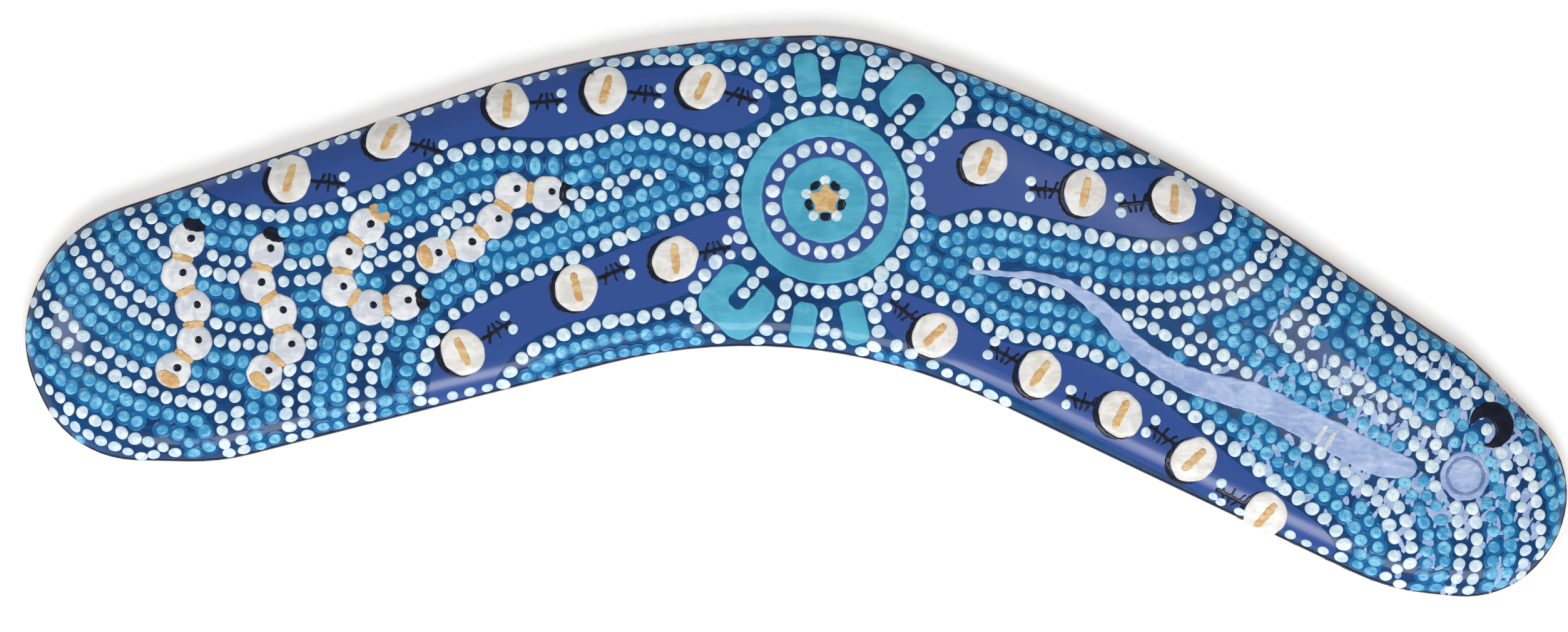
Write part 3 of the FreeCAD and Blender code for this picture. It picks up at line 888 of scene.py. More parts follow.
@dataclass(frozen=True)
class Drop:
    """A drop of thick paint: its place in the plan, its size, how it is stretched, and the depth of
    the dimple that the stick leaves."""

    x: float
    y: float
    radius: float
    height: float = 0.42 * MM
    dimple: float = 0.16
    stretch: float = 1.0
    turn: float = 0.0
    batch: float = 0.5

    OVAL = 0.045
    LOBES = 0.02
    SEGMENTS = 16
    RINGS = (0.16, 0.34, 0.56, 0.76, 0.9, 0.98, 1.0)

    def profile(self, t: float) -> float:
        """The height at a share of the radius."""
        bulge = max(0.0, 1.0 - t**2.6) ** 0.5
        return self.height * (bulge - self.dimple * math.exp(-((t / 0.2) ** 2)))

    def lay(self, side: PaintedSide, pile: Pile) -> None:
        """Lays the drop on the painted side.

        Args:
            side: the surface that it lands on.
            pile: the mesh that it joins.
        """
        middle, facing = side.slope(self.x, self.y, self.radius * 0.6)
        across = facing.cross(Vector((-math.sin(self.turn), math.cos(self.turn), 0.0))).normalized()
        upward = facing.cross(across)
        ripple = self.batch * 9.0
        places = [middle + facing * self.profile(0.0)]
        depths = [(1.0, 0.0, self.batch)]
        for ring in self.RINGS:
            for i in range(self.SEGMENTS):
                angle = 2 * math.pi * i / self.SEGMENTS
                uneven = 1 + self.OVAL * math.cos(2 * angle + ripple)
                uneven += self.LOBES * math.cos(3 * angle - 2 * ripple)
                reach = self.radius * ring * uneven
                spot = middle + across * (reach * math.cos(angle) * self.stretch)
                spot += upward * (reach * math.sin(angle))
                lift = self.profile(ring) if ring < 1.0 else -0.05 * MM
                places.append(side.beside(spot) + facing * lift)
                depths.append((1.0 - ring**3, ring, self.batch))
        places.append(middle - facing * 0.12 * MM)
        depths.append((0.0, 1.0, self.batch))
        count, last = self.SEGMENTS, len(places) - 1
        faces = [[0, 1 + i, 1 + (i + 1) % count] for i in range(count)]
        for ring in range(len(self.RINGS) - 1):
            first, second = 1 + ring * count, 1 + (ring + 1) * count
            for i in range(count):
                j = (i + 1) % count
                faces.append([first + i, second + i, second + j, first + j])
        outer = 1 + (len(self.RINGS) - 1) * count
        faces += [[last, outer + (i + 1) % count, outer + i] for i in range(count)]
        pile.add(places, faces, depths)


@dataclass(frozen=True)
class Halo(Drop):
    """A thin round patch of wash."""

    SEGMENTS = 12
    RINGS = (0.6, 0.92, 1.0)


@dataclass(frozen=True)
class Sheet:
    """A mark of thick paint that fills a plan shape: its height, how far in from the edge it takes
    to reach that height, how unsteady its edge is, and how coarse its mesh is."""

    height: float = 0.3 * MM
    rounding: float = 0.8 * MM
    waver: float = 0.12 * MM
    waver_scale: float = 2.2 * MM
    spacing: float = 0.7 * MM
    edge_step: float = 0.42 * MM
    ripple: float = 0.03 * MM
    seed: float = 1.0

    def unsteady(self, shape: PlanShape) -> PlanShape:
        """The shape with the unsteady edge that a hand leaves.

        Args:
            shape: the shape with its even edge.

        Returns:
            The shape with points at even steps that waver about that edge.
        """
        loops = []
        for loop in shape.loops:
            even = even_steps(loop, self.edge_step)
            sway = [waver(x, y, self.waver_scale, self.seed) for x, y in even]
            loops.append(even + side_normals(even) * (np.array(sway) * self.waver * 2)[:, None])
        return PlanShape(loops)

    def fill(self, shape: PlanShape) -> np.ndarray:
        """Spreads points in a shape: rows that follow the edge, then an even grid.

        Args:
            shape: the shape to fill.

        Returns:
            The plan points.
        """
        found = []
        for share in (0.12, 0.35, 0.7):
            inset = self.rounding * share
            row = np.vstack([loop + side_normals(loop) * inset for loop in shape.loops])
            keep = shape.inside(row) & (shape.distance(row) > inset * 0.93)
            found.append(row[keep])
        low, high = shape.loops[0].min(axis=0), shape.loops[0].max(axis=0)
        rows = []
        for i, y in enumerate(np.arange(low[1], high[1], self.spacing * ROW_SQUEEZE)):
            xs = np.arange(low[0] + (i % 2) * self.spacing / 2, high[0], self.spacing)
            rows.append(np.stack([xs, np.full(len(xs), y)], axis=1))
        if rows:
            inner = np.vstack(rows)
            inner = inner[shape.inside(inner)]
            found.append(inner[shape.distance(inner) > self.rounding * 0.7 + self.spacing * 0.45])
        return np.vstack(found)

    def lay(self, shape: PlanShape, side: PaintedSide, pile: Pile) -> None:
        """Lays the mark on the painted side.

        Args:
            shape: the mark's shape in the plan.
            side: the surface that it lands on.
            pile: the mesh that it joins.
        """
        shape = self.unsteady(shape)
        points = [Vector(p) for loop in shape.loops for p in loop]
        edges, first = [], 0
        for loop in shape.loops:
            count = len(loop)
            edges += [(first + i, first + (i + 1) % count) for i in range(count)]
            first += count
        points += [Vector(p) for p in self.fill(shape)]
        plan, _, triangles, _, _, _ = delaunay_2d_cdt(points, edges, [], 0, 1e-8)
        flat = np.array([(p.x, p.y) for p in plan])
        corners = np.array([t for t in triangles if len(t) == 3])
        corners = corners[shape.inside(flat[corners].mean(axis=1))]
        depth = shape.distance(flat)
        share = np.clip(depth / self.rounding, 0.0, 1.0)
        rise = self.height * np.sqrt(1.0 - (1.0 - share) ** 2)
        places, depths = [], []
        for (x, y), lift, t in zip(flat, rise, share):
            ground, facing = side.under(x, y)
            sway = waver(x * 0.35 + y, y * 0.2 - x * 0.1, 0.5 * MM, self.seed + 5)
            brushed = self.ripple * t * sway
            places.append(ground + facing * (lift + brushed if t > 0.01 else -0.03 * MM))
            depths.append((t, 1.0 - t, 0.5))
        below = {}
        for i, t in enumerate(share):
            if t > 0.01:
                below[i] = len(places)
                ground, facing = side.under(*flat[i])
                places.append(ground - facing * 0.1 * MM)
                depths.append((1.0, 0.0, 0.5))
        faces = []
        for a, b, c in corners:
            one, two = flat[b] - flat[a], flat[c] - flat[a]
            turned = (a, b, c) if one[0] * two[1] - one[1] * two[0] > 0 else (a, c, b)
            faces.append([int(i) for i in turned])
            faces.append([int(below.get(i, i)) for i in reversed(turned)])
        pile.add(places, faces, depths)


# ---------------------------------------------------------------- marks that stand for CAD films


@dataclass
class Marks:
    """The painted marks that are laid where the CAD films are."""

    effects: Effects
    side: PaintedSide
    pieces: list = field(default_factory=list)
    star_gap: tuple = (3.0 * MM, 2.1 * MM)
    star_gap_reach: float = 0.86
    chain_end: tuple = (6.2 * MM, 3.6 * MM)
    dark_end_reach: float = 3.7 * MM
    ochre_end_reach: float = 3.6 * MM
    dash_place: float = 0.80
    dash_bearing: float = 1.0
    pool_ring: tuple = (0.8, 0.66)
    scumble_tries: int = 34000
    scumble_fade: float = 12 * MM
    scumble_patch: float = 9 * MM
    scumble_from: float = 0.4
    scumble_to: float = 0.95
    scumble_lean: tuple = (74.0, 26.0)
    panel_clear: float = 2 * MM
    # inset and lift of each row of the painted rim shade, in millimetres
    rim_shade_rows: tuple = ((-0.1, -0.02), (0.06, 0.04), (0.2, 0.05), (0.36, 0.05), (0.5, -0.03))

    def sheet(self, node: str, name: str, paint: Paint, sheet: Sheet, spread: tuple = ()) -> Object:
        """Lays one CAD film as marks of thick paint.

        Args:
            node: the CAD node that is replaced.
            name: the new piece's name.
            paint: the paint.
            sheet: how it is laid.
            spread: how much longer and wider than the film its dabs are, if it is laid in dabs.

        Returns:
            The new piece.
        """
        shapes = node_shapes(node)
        if spread:
            shapes = [shape.as_dab(*spread) for shape in shapes]
        return self.lay(shapes, name, paint, sheet, (node,))

    def lay(self, shapes: list, name: str, paint: Paint, sheet: Sheet, nodes: tuple = ()) -> Object:
        """Lays shapes as marks of thick paint.

        Args:
            shapes: the marks' shapes.
            name: the new piece's name.
            paint: the paint.
            sheet: how it is laid.
            nodes: the CAD nodes that it stands for.

        Returns:
            The new piece.
        """
        pile = Pile()
        for shape in shapes:
            sheet.lay(shape, self.side, pile)
        made = pile.piece(name, paint, self.effects, nodes)
        self.pieces.append(made)
        return made

    def drops(self, node: str, name: str, paint: Paint, **settings: float) -> Object:
        """Lays one CAD film as round drops.

        Args:
            node: the CAD node that is replaced.
            name: the new piece's name.
            paint: the paint.
            settings: sizes that differ from a drop's own.

        Returns:
            The new piece.
        """
        pile = Pile()
        rng = random.Random(node)
        for shape in node_shapes(node):
            x, y = shape.centre()
            radius = shape.radius() * rng.uniform(0.95, 1.06)
            drop = Drop(x, y, radius, batch=rng.random(), turn=rng.uniform(0, 3), **settings)
            drop.lay(self.side, pile)
        made = pile.piece(name, paint, self.effects, (node,))
        self.pieces.append(made)
        return made

    def first_layer(self) -> None:
        """Lays the marks that stand straight on the ground."""
        thick = Sheet(height=0.28 * MM, rounding=0.8 * MM, spacing=0.9 * MM)
        self.sheet("outer_ring", "turquoise_ring", Paint.TURQUOISE, thick)
        self.sheet("inner_disc", "turquoise_disc", Paint.TURQUOISE, thick)
        self.sheet("upper_bars", "turquoise_upper_bars", Paint.TURQUOISE, thick)
        self.sheet("lower_bars", "turquoise_lower_bars", Paint.TURQUOISE, thick)
        self.drops("channel_dots", "channel_drops", Paint.WHITE)
        self.drops("twig_buds", "bud_drops", Paint.WHITE, height=0.3 * MM, dimple=0.55)
        bead = Sheet(height=0.52 * MM, rounding=3.4 * MM, spacing=0.6 * MM, waver=0.14 * MM)
        for i in range(1, 5):
            self.sheet(f"bead_chain_{i}", f"painted_beads_{i}", Paint.BEAD, bead)
        seed = Sheet(height=0.5 * MM, rounding=1.8 * MM, spacing=0.6 * MM, waver=0.2 * MM,
                     waver_scale=3 * MM, ripple=0.07 * MM)
        self.sheet("cream_seeds", "painted_seeds", Paint.CREAM, seed)
        thin = Sheet(height=0.16 * MM, rounding=0.4 * MM, spacing=0.5 * MM, waver=0.12 * MM,
                     waver_scale=1.2 * MM, edge_step=0.3 * MM)
        self.sheet("dark_twigs", "painted_twigs", Paint.DARK, thin)
        wash = Sheet(height=0.2 * MM, rounding=0.8 * MM, spacing=0.7 * MM, waver=0.22 * MM,
                     waver_scale=2.5 * MM, ripple=0.06 * MM)
        self.sheet("winding_path", "painted_path", Paint.LAVENDER, wash)
        self.sheet("pool", "painted_pool", Paint.LAVENDER, wash)
        self.sheet("dark_crescent", "painted_crescent", Paint.DARK, thick)

    def second_layer(self) -> None:
        """Lays the small marks on the first ones."""
        small = Sheet(height=0.2 * MM, rounding=0.5 * MM, spacing=0.45 * MM, waver=0.14 * MM,
                      waver_scale=1.0 * MM, edge_step=0.3 * MM)
        ground = self.side
        self.side = ground.with_pieces(self.pieces)
        self.star_gaps(small)
        self.drops("star_dots", "star_drops", Paint.WHITE, height=0.22 * MM)
        self.sheet("ochre_strokes", "seed_strokes", Paint.OCHRE, small, (1.08, 1.1))
        self.sheet("bead_links", "link_strokes", Paint.OCHRE, small, (1.0, 1.05))
        self.drops("bead_eyes", "bead_eye_drops", Paint.DARK, height=0.22 * MM)
        self.chain_ends(small)
        self.head_marks(small)
        self.side = ground.with_pieces(self.pieces)
        self.sheet("centre_star", "painted_star", Paint.OCHRE, small)

    def star_gaps(self, sheet: Sheet) -> None:
        """Lays a dark dab between each two dots of the star.

        Args:
            sheet: how the paint is laid.
        """
        middle = np.mean([shape.centre() for shape in node_shapes("star_dots")], axis=0)
        shapes = []
        for shape in node_shapes("star_dots"):
            x, y = shape.centre() - middle
            reach = math.hypot(x, y) * self.star_gap_reach
            bearing = math.atan2(y, x) + math.pi / 5
            place = middle + np.array([math.cos(bearing), math.sin(bearing)]) * reach
            shapes.append(dab(*place, *self.star_gap, bearing + math.pi / 2))
        self.lay(shapes, "star_shadows", Paint.DARK, sheet)

    def chain_ends(self, sheet: Sheet) -> None:
        """Lays a dark dab on one end of each chain, and an ochre dab on the other.

        Args:
            sheet: how the paint is laid.
        """
        eyes = [shape.centre() for shape in node_shapes("bead_eyes")]
        darks: list[PlanShape] = []
        ochres: list[PlanShape] = []
        for i in range(1, 5):
            chain = node_shapes(f"bead_chain_{i}")[0]
            beads = [eye for eye in eyes if chain.inside(eye[None, :])[0]]
            pairs = [(np.linalg.norm(a - b), a, b) for a in beads for b in beads]
            _, first, last = max(pairs, key=lambda pair: pair[0])
            dark, pale = (first, last) if first[0] > last[0] else (last, first)
            for end, found, reach in ((dark, darks, self.dark_end_reach),
                                      (pale, ochres, self.ochre_end_reach)):
                others = [bead for bead in beads if bead is not end]
                nearest = min(others, key=lambda bead: np.linalg.norm(bead - end))
                outward = (end - nearest) / np.linalg.norm(end - nearest)
                place = end + outward * reach
                turn = math.atan2(outward[0], -outward[1])
                found.append(dab(*place, *self.chain_end, turn, 2.3))
        self.lay(darks, "chain_dark_ends", Paint.DARK, sheet)
        self.lay(ochres, "chain_ochre_ends", Paint.OCHRE, sheet)

    def head_marks(self, sheet: Sheet) -> None:
        """Lays the white double dash on the path, the ring on the pool and the white dot by the
        crescent.

        Args:
            sheet: how the paint is laid.
        """
        low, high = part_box("winding_path")
        path = node_shapes("winding_path")[0]
        middle = low[0] + (high[0] - low[0]) * self.dash_place
        cut = path.loops[0][np.abs(path.loops[0][:, 0] - middle) < 3 * MM]
        x, y = (cut.min(axis=0) + cut.max(axis=0)) / 2
        dashes = [dab(x - 1.1 * MM, y + 0.8 * MM, 5.8 * MM, 1.5 * MM, self.dash_bearing),
                  dab(x + 1.2 * MM, y - 0.9 * MM, 5.6 * MM, 1.5 * MM, self.dash_bearing)]
        self.lay(dashes, "path_dashes", Paint.BEAD, sheet)
        pool = node_shapes("pool")[0]
        outer, inner = pool.loops[0], pool.loops[0][::-1]
        ring = PlanShape([pool.centre() + (outer - pool.centre()) * self.pool_ring[0],
                          pool.centre() + (inner - pool.centre()) * self.pool_ring[1]])
        self.lay([ring], "pool_ring", Paint.LAVENDER_DEEP, sheet)
        x, y = beside_crescent()
        pile = Pile()
        Drop(float(x), float(y), LONE_DROP, dimple=0.1).lay(self.side, pile)
        self.pieces.append(pile.piece("crescent_drop", Paint.WHITE, self.effects))

    def scumble(self) -> None:
        """Lays the pale combed dabs that spread from the path and the pool under the dots."""
        rng = random.Random(7)
        shapes = node_shapes("winding_path") + node_shapes("pool")
        low, high = (np.array(corner[:2]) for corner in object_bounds())
        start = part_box("winding_path")[0][0]
        spots = np.array([[rng.uniform(low[0], high[0]), rng.uniform(low[1], high[1])]
                          for _ in range(self.scumble_tries)])
        reach = np.min([shape.signed(spots) for shape in shapes], axis=0)
        panels = node_shapes("navy_panels")
        panel_reach = np.min([shape.signed(spots) for shape in panels], axis=0)
        reach[panel_reach < self.panel_clear] = -1.0
        ahead = (spots[:, 0] - start) / (high[0] - start)
        dabs = []
        for (x, y), gap, share in zip(spots, reach, ahead):
            patch = 0.5 + 0.5 * waver(x, y, self.scumble_patch, 2.0)
            near = math.exp(-max(gap, 0.0) / self.scumble_fade)
            chance = near * min(1.0, max(0.0, share - self.scumble_from) * 3.0)
            if gap < 0.5 * MM or share > self.scumble_to or rng.random() > chance * patch:
                continue
            turn = math.radians(rng.gauss(*self.scumble_lean))
            length, width = rng.uniform(2.0, 6.0) * MM, rng.uniform(0.8, 2.0) * MM
            dabs.append(dab(x, y, length, width, turn, 2.2))
        thin = Sheet(height=0.08 * MM, rounding=0.3 * MM, spacing=0.6 * MM, waver=0.16 * MM,
                     waver_scale=0.9 * MM, edge_step=0.4 * MM, ripple=0.02 * MM)
        LOG.info("%d dabs of scumble", len(dabs))
        self.lay(dabs, "lavender_scumble", Paint.LAVENDER, thin)

    def rim_shade_line(self) -> None:
        """Lays a thin dark line round the rim: painted shade, where the rim's edge falls dark."""
        pile = Pile()
        rim = even_steps(node_shapes("ply_2_cross_grain")[0].loops[0], 0.8 * MM)
        inward = side_normals(rim)
        rows = []
        for inset, _ in self.rim_shade_rows:
            sway = [0.10 * waver(x, y, 6 * MM, 3.0) if inset > 0.3 else 0.0 for x, y in rim]
            plan = rim + inward * ((inset + np.array(sway)) * MM)[:, None]
            rows.append([self.side.under(x, y) for x, y in plan])
        count = len(rim)
        for row, (_, lift) in zip(rows, self.rim_shade_rows):
            pile.places += [place + facing * lift * MM for place, facing in row]
            pile.depths += [(1.0, 0.0, 0.5)] * count
        for place, facing in rows[2]:
            pile.places.append(place - facing * 0.1 * MM)
            pile.depths.append((1.0, 0.0, 0.5))
        order = (0, 1, 2, 3, 4, 5, 0)
        for first, second in zip(order, order[1:]):
            for i in range(count):
                j = (i + 1) % count
                pile.faces.append([first * count + i, first * count + j, second * count + j,
                                   second * count + i])
        # painted shade round the rim
        self.pieces.append(pile.piece("rim_shade_line", Paint.RIM, self.effects))


# ---------------------------------------------------------------- rows of dots


class Contours:
    """Values on an even grid over the plan, and the lines of equal value through them."""

    STEP = 0.8 * MM

    def __init__(self, low: np.ndarray, high: np.ndarray) -> None:
        """Lays out the grid.

        Args:
            low: the plan's lowest corner.
            high: the plan's highest corner.
        """
        self.low = low
        self.xs = np.arange(low[0], high[0], self.STEP)
        self.ys = np.arange(low[1], high[1], self.STEP)
        grid_x, grid_y = np.meshgrid(self.xs, self.ys, indexing="ij")
        self.points = np.stack([grid_x.ravel(), grid_y.ravel()], axis=1)

    def field(self, values: np.ndarray) -> np.ndarray:
        """Values of the grid's points as rows and columns."""
        return values.reshape(len(self.xs), len(self.ys))

    def sample(self, values: np.ndarray, points: np.ndarray) -> np.ndarray:
        """Reads a field between the grid's points.

        Args:
            values: the field, in rows and columns.
            points: the plan points to read at.

        Returns:
            The value at each point.
        """
        at = (points - self.low) / self.STEP
        i = np.clip(at[:, 0].astype(int), 0, len(self.xs) - 2)
        j = np.clip(at[:, 1].astype(int), 0, len(self.ys) - 2)
        u, v = at[:, 0] - i, at[:, 1] - j
        near = values[i, j] * (1 - v) + values[i, j + 1] * v
        far = values[i + 1, j] * (1 - v) + values[i + 1, j + 1] * v
        return near * (1 - u) + far * u

    def lines(self, values: np.ndarray, level: float) -> list[np.ndarray]:
        """Follows the lines where a field has one value.

        Args:
            values: the field, in rows and columns.
            level: the value.

        Returns:
            The lines, each as plan points in order.
        """
        above = values > level
        mixed = (above[:-1, :-1] != above[1:, :-1]) | (above[:-1, :-1] != above[1:, 1:])
        mixed |= above[:-1, :-1] != above[:-1, 1:]
        joins: dict[tuple, list] = {}
        for i, j in np.argwhere(mixed):
            sides = [(i, j, i + 1, j), (i + 1, j, i + 1, j + 1), (i, j + 1, i + 1, j + 1),
                     (i, j, i, j + 1)]
            cut = [s for s in sides if above[s[0], s[1]] != above[s[2], s[3]]]
            for a, b in zip(cut[::2], cut[1::2]):
                joins.setdefault(a, []).append(b)
                joins.setdefault(b, []).append(a)
        found = []
        ends = [key for key in joins if len(joins[key]) == 1]
        for start in ends + list(joins):
            if not joins.get(start):
                continue
            line, here = [start], start
            while joins.get(here):
                there = joins[here].pop()
                joins[there].remove(here)
                line.append(there)
                here = there
            found.append(np.array([self.cut_place(values, level, key) for key in line]))
        return found

    def cut_place(self, values: np.ndarray, level: float, side: tuple) -> tuple[float, float]:
        """The place on a grid cell's side where a field has a value.

        Args:
            values: the field at the grid's crossings.
            level: the value.
            side: the column and row of the crossing at each end of the side.

        Returns:
            The place in plan.
        """
        i, j, k, m = side
        share = (level - values[i, j]) / (values[k, m] - values[i, j])
        x = self.xs[i] + share * (self.xs[k] - self.xs[i])
        return x, self.ys[j] + share * (self.ys[m] - self.ys[j])


class RowPaint(Enum):
    """The paint of a row of dots."""

    BORDER = "border"
    WHITE = "white"
    SKY = "sky"


ROW_ORDER = (RowPaint.SKY, RowPaint.SKY, RowPaint.WHITE, RowPaint.WHITE)


@dataclass
class DotField:
    """The field of dots in rows. A border of white dots runs round every panel, ring and bar, and
    the rows beyond follow it, two light blue and two white by turns, out to the rim."""

    effects: Effects
    side: PaintedSide
    border_gap: float = 2.3 * MM
    row_pitch: float = 4.25 * MM
    spacing: float = 3.75 * MM
    border_spacing: float = 4.3 * MM
    border_radius: float = 1.8 * MM
    dot_radius: float = 1.64 * MM
    wash_radius: float = 2.6 * MM
    slot_gaps: tuple = (3.0 * MM, 6.6 * MM, 10.2 * MM)
    dashes: tuple = ((0.236, 0.40, 8.6 * MM, 1.45), (0.308, 0.594, 5.6 * MM, 1.5),
                     (0.332, 0.765, 4.8 * MM, 1.5), (0.344, 0.765, 4.8 * MM, 1.6))
    least_gap: float = 3.2 * MM
    rim_margin: float = 0.9 * MM
    rim_inset: float = 1.5 * MM
    rim_clear: float = 0.6 * MM
    border_clear: float = 1.3 * MM
    row_clear: float = 1.1 * MM
    gap_clear: float = 1.2 * MM
    melt: float = 1.2 * MM
    cell: float = 4 * MM
    box_margin: float = 6 * MM
    marks: tuple = ("bead_chain_1", "bead_chain_2", "bead_chain_3", "bead_chain_4", "cream_seeds",
                    "twig_buds", "winding_path", "pool", "dark_crescent", "upper_bars",
                    "lower_bars", "outer_ring")
    drops: dict = field(default_factory=lambda: {paint: [] for paint in RowPaint})
    taken: dict = field(default_factory=dict)
    rng: random.Random = field(default_factory=lambda: random.Random(20))

    def survey(self) -> None:
        """Measures the plan: how far each place lies from the panels and rings, from the rim, and
        from the marks that no dot covers."""
        rim = node_shapes("ply_2_cross_grain")[0]
        edge = self.box_margin / 2
        self.grid = Contours(rim.loops[0].min(axis=0) - edge, rim.loops[0].max(axis=0) + edge)
        points = self.grid.points
        self.inset = self.grid.field(-rim.signed(points))
        panels = sorted(node_shapes("navy_panels"), key=lambda shape: shape.centre()[0])
        ring = PlanShape(node_shapes("outer_ring")[0].loops[:1])
        self.panels = [shape for shape in panels if not ring.inside(shape.centre()[None, :])[0]]
        bars = node_shapes("upper_bars") + node_shapes("lower_bars")
        solid_bars = [PlanShape(shape.loops[:1]) for shape in bars]
        self.sources = [ring] + solid_bars + self.panels
        self.reaches = [self.grid.field(shape.signed(points)) for shape in self.sources]
        stack = np.stack(self.reaches)
        least = stack.min(axis=0)
        self.spread = least - self.melt * np.log(np.exp(-(stack - least) / self.melt).sum(axis=0))
        self.panel_reach = stack[1 + len(solid_bars):].min(axis=0)
        covered = np.linalg.norm(points - beside_crescent(), axis=1) - LONE_DROP
        for node in self.marks:
            for shape in node_shapes(node):
                low = shape.loops[0].min(axis=0) - self.box_margin
                high = shape.loops[0].max(axis=0) + self.box_margin
                near = np.all((points > low) & (points < high), axis=1)
                covered[near] = np.minimum(covered[near], shape.signed(points[near]))
        self.covered = self.grid.field(covered)

    def free(self, points: np.ndarray, clear: float) -> np.ndarray:
        """Tells where a dot can go.

        Args:
            points: the plan points to test.
            clear: how far a dot's middle stays from the marks.

        Returns:
            True for each point that is free.
        """
        inset = self.grid.sample(self.inset, points)
        covered = self.grid.sample(self.covered, points)
        return (inset > self.rim_margin) & (covered > clear)

    def runs(self, line: np.ndarray, clear: float) -> list[np.ndarray]:
        """Cuts a line into the runs where dots can go.

        Args:
            line: plan points in order.
            clear: how far a dot's middle stays from the marks.

        Returns:
            The runs, with fine steps.
        """
        fine = even_steps(line, FINE_STEP, closed=False)
        return kept_runs(fine, self.free(fine, clear))

    def place(self, run: np.ndarray, paint: RowPaint, spacing: float, radius: float,
              gap: float) -> None:
        """Sets dots along a run.

        Args:
            run: the run's plan points.
            paint: the row's paint.
            spacing: the distance between dots along the painted side.
            radius: the dots' radius.
            gap: the least distance to a dot that is there already.
        """
        solid = np.array([self.side.under(x, y)[0] for x, y in run])
        along = np.concatenate([[0.0], np.cumsum(np.linalg.norm(np.diff(solid, axis=0), axis=1))])
        count = int(along[-1] // spacing)
        start = (along[-1] - count * spacing) / 2
        for i in range(count + 1):
            at = start + i * spacing + self.rng.gauss(0.0, 0.05) * spacing
            x = float(np.interp(at, along, run[:, 0])) + self.rng.gauss(0.0, 0.14) * MM
            y = float(np.interp(at, along, run[:, 1])) + self.rng.gauss(0.0, 0.14) * MM
            self.set_dot(x, y, paint, radius, gap)

    def cell_of(self, spot: Vector) -> tuple[int, int]:
        """The cell of the plan that a spot lies in."""
        return round(spot.x / self.cell), round(spot.y / self.cell)

    def set_dot(self, x: float, y: float, paint: RowPaint, radius: float, gap: float) -> bool:
        """Sets one dot unless another is too near.

        Args:
            x: the place along the span.
            y: the place across the span.
            paint: the dot's paint.
            radius: its radius.
            gap: the least distance to a dot that is there already.

        Returns:
            Whether the dot was set.
        """
        spot = self.side.under(x, y)[0]
        column, row = self.cell_of(spot)
        near = [self.taken.get((column + i, row + j), ()) for i in (-1, 0, 1) for j in (-1, 0, 1)]
        if any((other - spot).length < gap for cell in near for other in cell):
            return False
        self.taken.setdefault((column, row), []).append(spot)
        size = radius * self.rng.gauss(1.0, 0.05)
        height, dimple = self.rng.uniform(0.34, 0.48) * MM, self.rng.uniform(0.1, 0.3)
        stretch, turn = self.rng.uniform(0.98, 1.14), self.rng.uniform(0.0, math.pi)
        drop = Drop(x, y, size, height, dimple, stretch, turn, self.rng.random())
        self.drops[paint].append(drop)
        return True

    def set_dashes(self) -> None:
        """Sets the few light-blue dashes that fill a row's end, each at its shares of the plan."""
        low, high = (np.array(corner[:2]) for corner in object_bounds())
        for share_x, share_y, length, turn in self.dashes:
            x, y = low + (high - low) * np.array([share_x, share_y])
            radius = self.dot_radius * 0.92
            for step in (-1, 0, 1):
                ahead = step * (length / 2 - radius)
                spot = self.side.under(x + ahead * math.cos(turn), y + ahead * math.sin(turn))[0]
                self.taken.setdefault(self.cell_of(spot), []).append(spot)
            self.drops[RowPaint.SKY].append(Drop(x, y, radius, height=0.34 * MM, dimple=0.0,
                                                 stretch=length / 2 / radius, turn=turn))

    def wash(self) -> Object:
        """Lays the mid-blue wash that runs under the rows of light-blue dots.

        Returns:
            The new piece.
        """
        pile = Pile()
        for drop in self.drops[RowPaint.SKY]:
            Halo(drop.x, drop.y, self.wash_radius, height=0.07 * MM, dimple=0.0, stretch=1.1,
                 turn=drop.turn, batch=drop.batch).lay(self.side, pile)
        return pile.piece("mid_blue_wash", Paint.WASH, self.effects)

    def set_slots(self) -> None:
        """Sets the white dots in the slot of each arch."""
        ring = node_shapes("outer_ring")[0]
        for node in ("upper_bars", "lower_bars"):
            arch = max(node_shapes(node), key=PlanShape.radius)
            outward = arch.centre() - ring.centre()
            outward /= np.linalg.norm(outward)
            for gap in self.slot_gaps:
                x, y = ring.centre() + outward * (ring.radius() + gap)
                self.set_dot(float(x), float(y), RowPaint.BORDER, self.border_radius * 0.86,
                             self.least_gap)

    def set_borders(self) -> None:
        """Sets the white dots round the rings, the bars, the arches and the panels."""
        for reach in self.reaches:
            for line in self.grid.lines(reach, self.border_gap):
                for run in self.runs(line, self.border_clear):
                    self.place(run, RowPaint.BORDER, self.border_spacing, self.border_radius,
                               self.least_gap * 1.02)

    def set_rim(self) -> None:
        """Sets the white dots along the rim where a panel reaches it."""
        for line in self.grid.lines(self.inset, self.rim_inset):
            fine = even_steps(line, FINE_STEP, closed=False)
            kept = (self.grid.sample(self.panel_reach, fine) < 0) & self.free(fine, self.rim_clear)
            for run in kept_runs(fine, kept):
                self.place(run, RowPaint.BORDER, self.border_spacing * 1.1,
                           self.border_radius * 0.85, self.least_gap)

    def set_rows(self) -> None:
        """Sets the rows beyond the borders."""
        top = float(self.spread[self.inset > 0].max())
        for row in range(int((top - self.border_gap) // self.row_pitch) + 1):
            level = self.border_gap + (row + 1) * self.row_pitch
            for line in self.grid.lines(self.spread, level):
                for run in self.runs(line, self.row_clear):
                    self.place(run, ROW_ORDER[row % 4], self.spacing, self.dot_radius,
                               self.least_gap)

    def fill_gaps(self) -> None:
        """Sets single dots where the rows left a gap."""
        points = self.grid.points
        levels = self.spread.ravel()
        open_to = self.free(points, self.gap_clear) & (levels > self.border_gap)
        for (x, y), level in zip(points[open_to], levels[open_to]):
            row = max(0, round((level - self.border_gap) / self.row_pitch) - 1)
            self.set_dot(float(x), float(y), ROW_ORDER[row % 4], self.dot_radius * 0.94,
                         self.least_gap * 1.06)

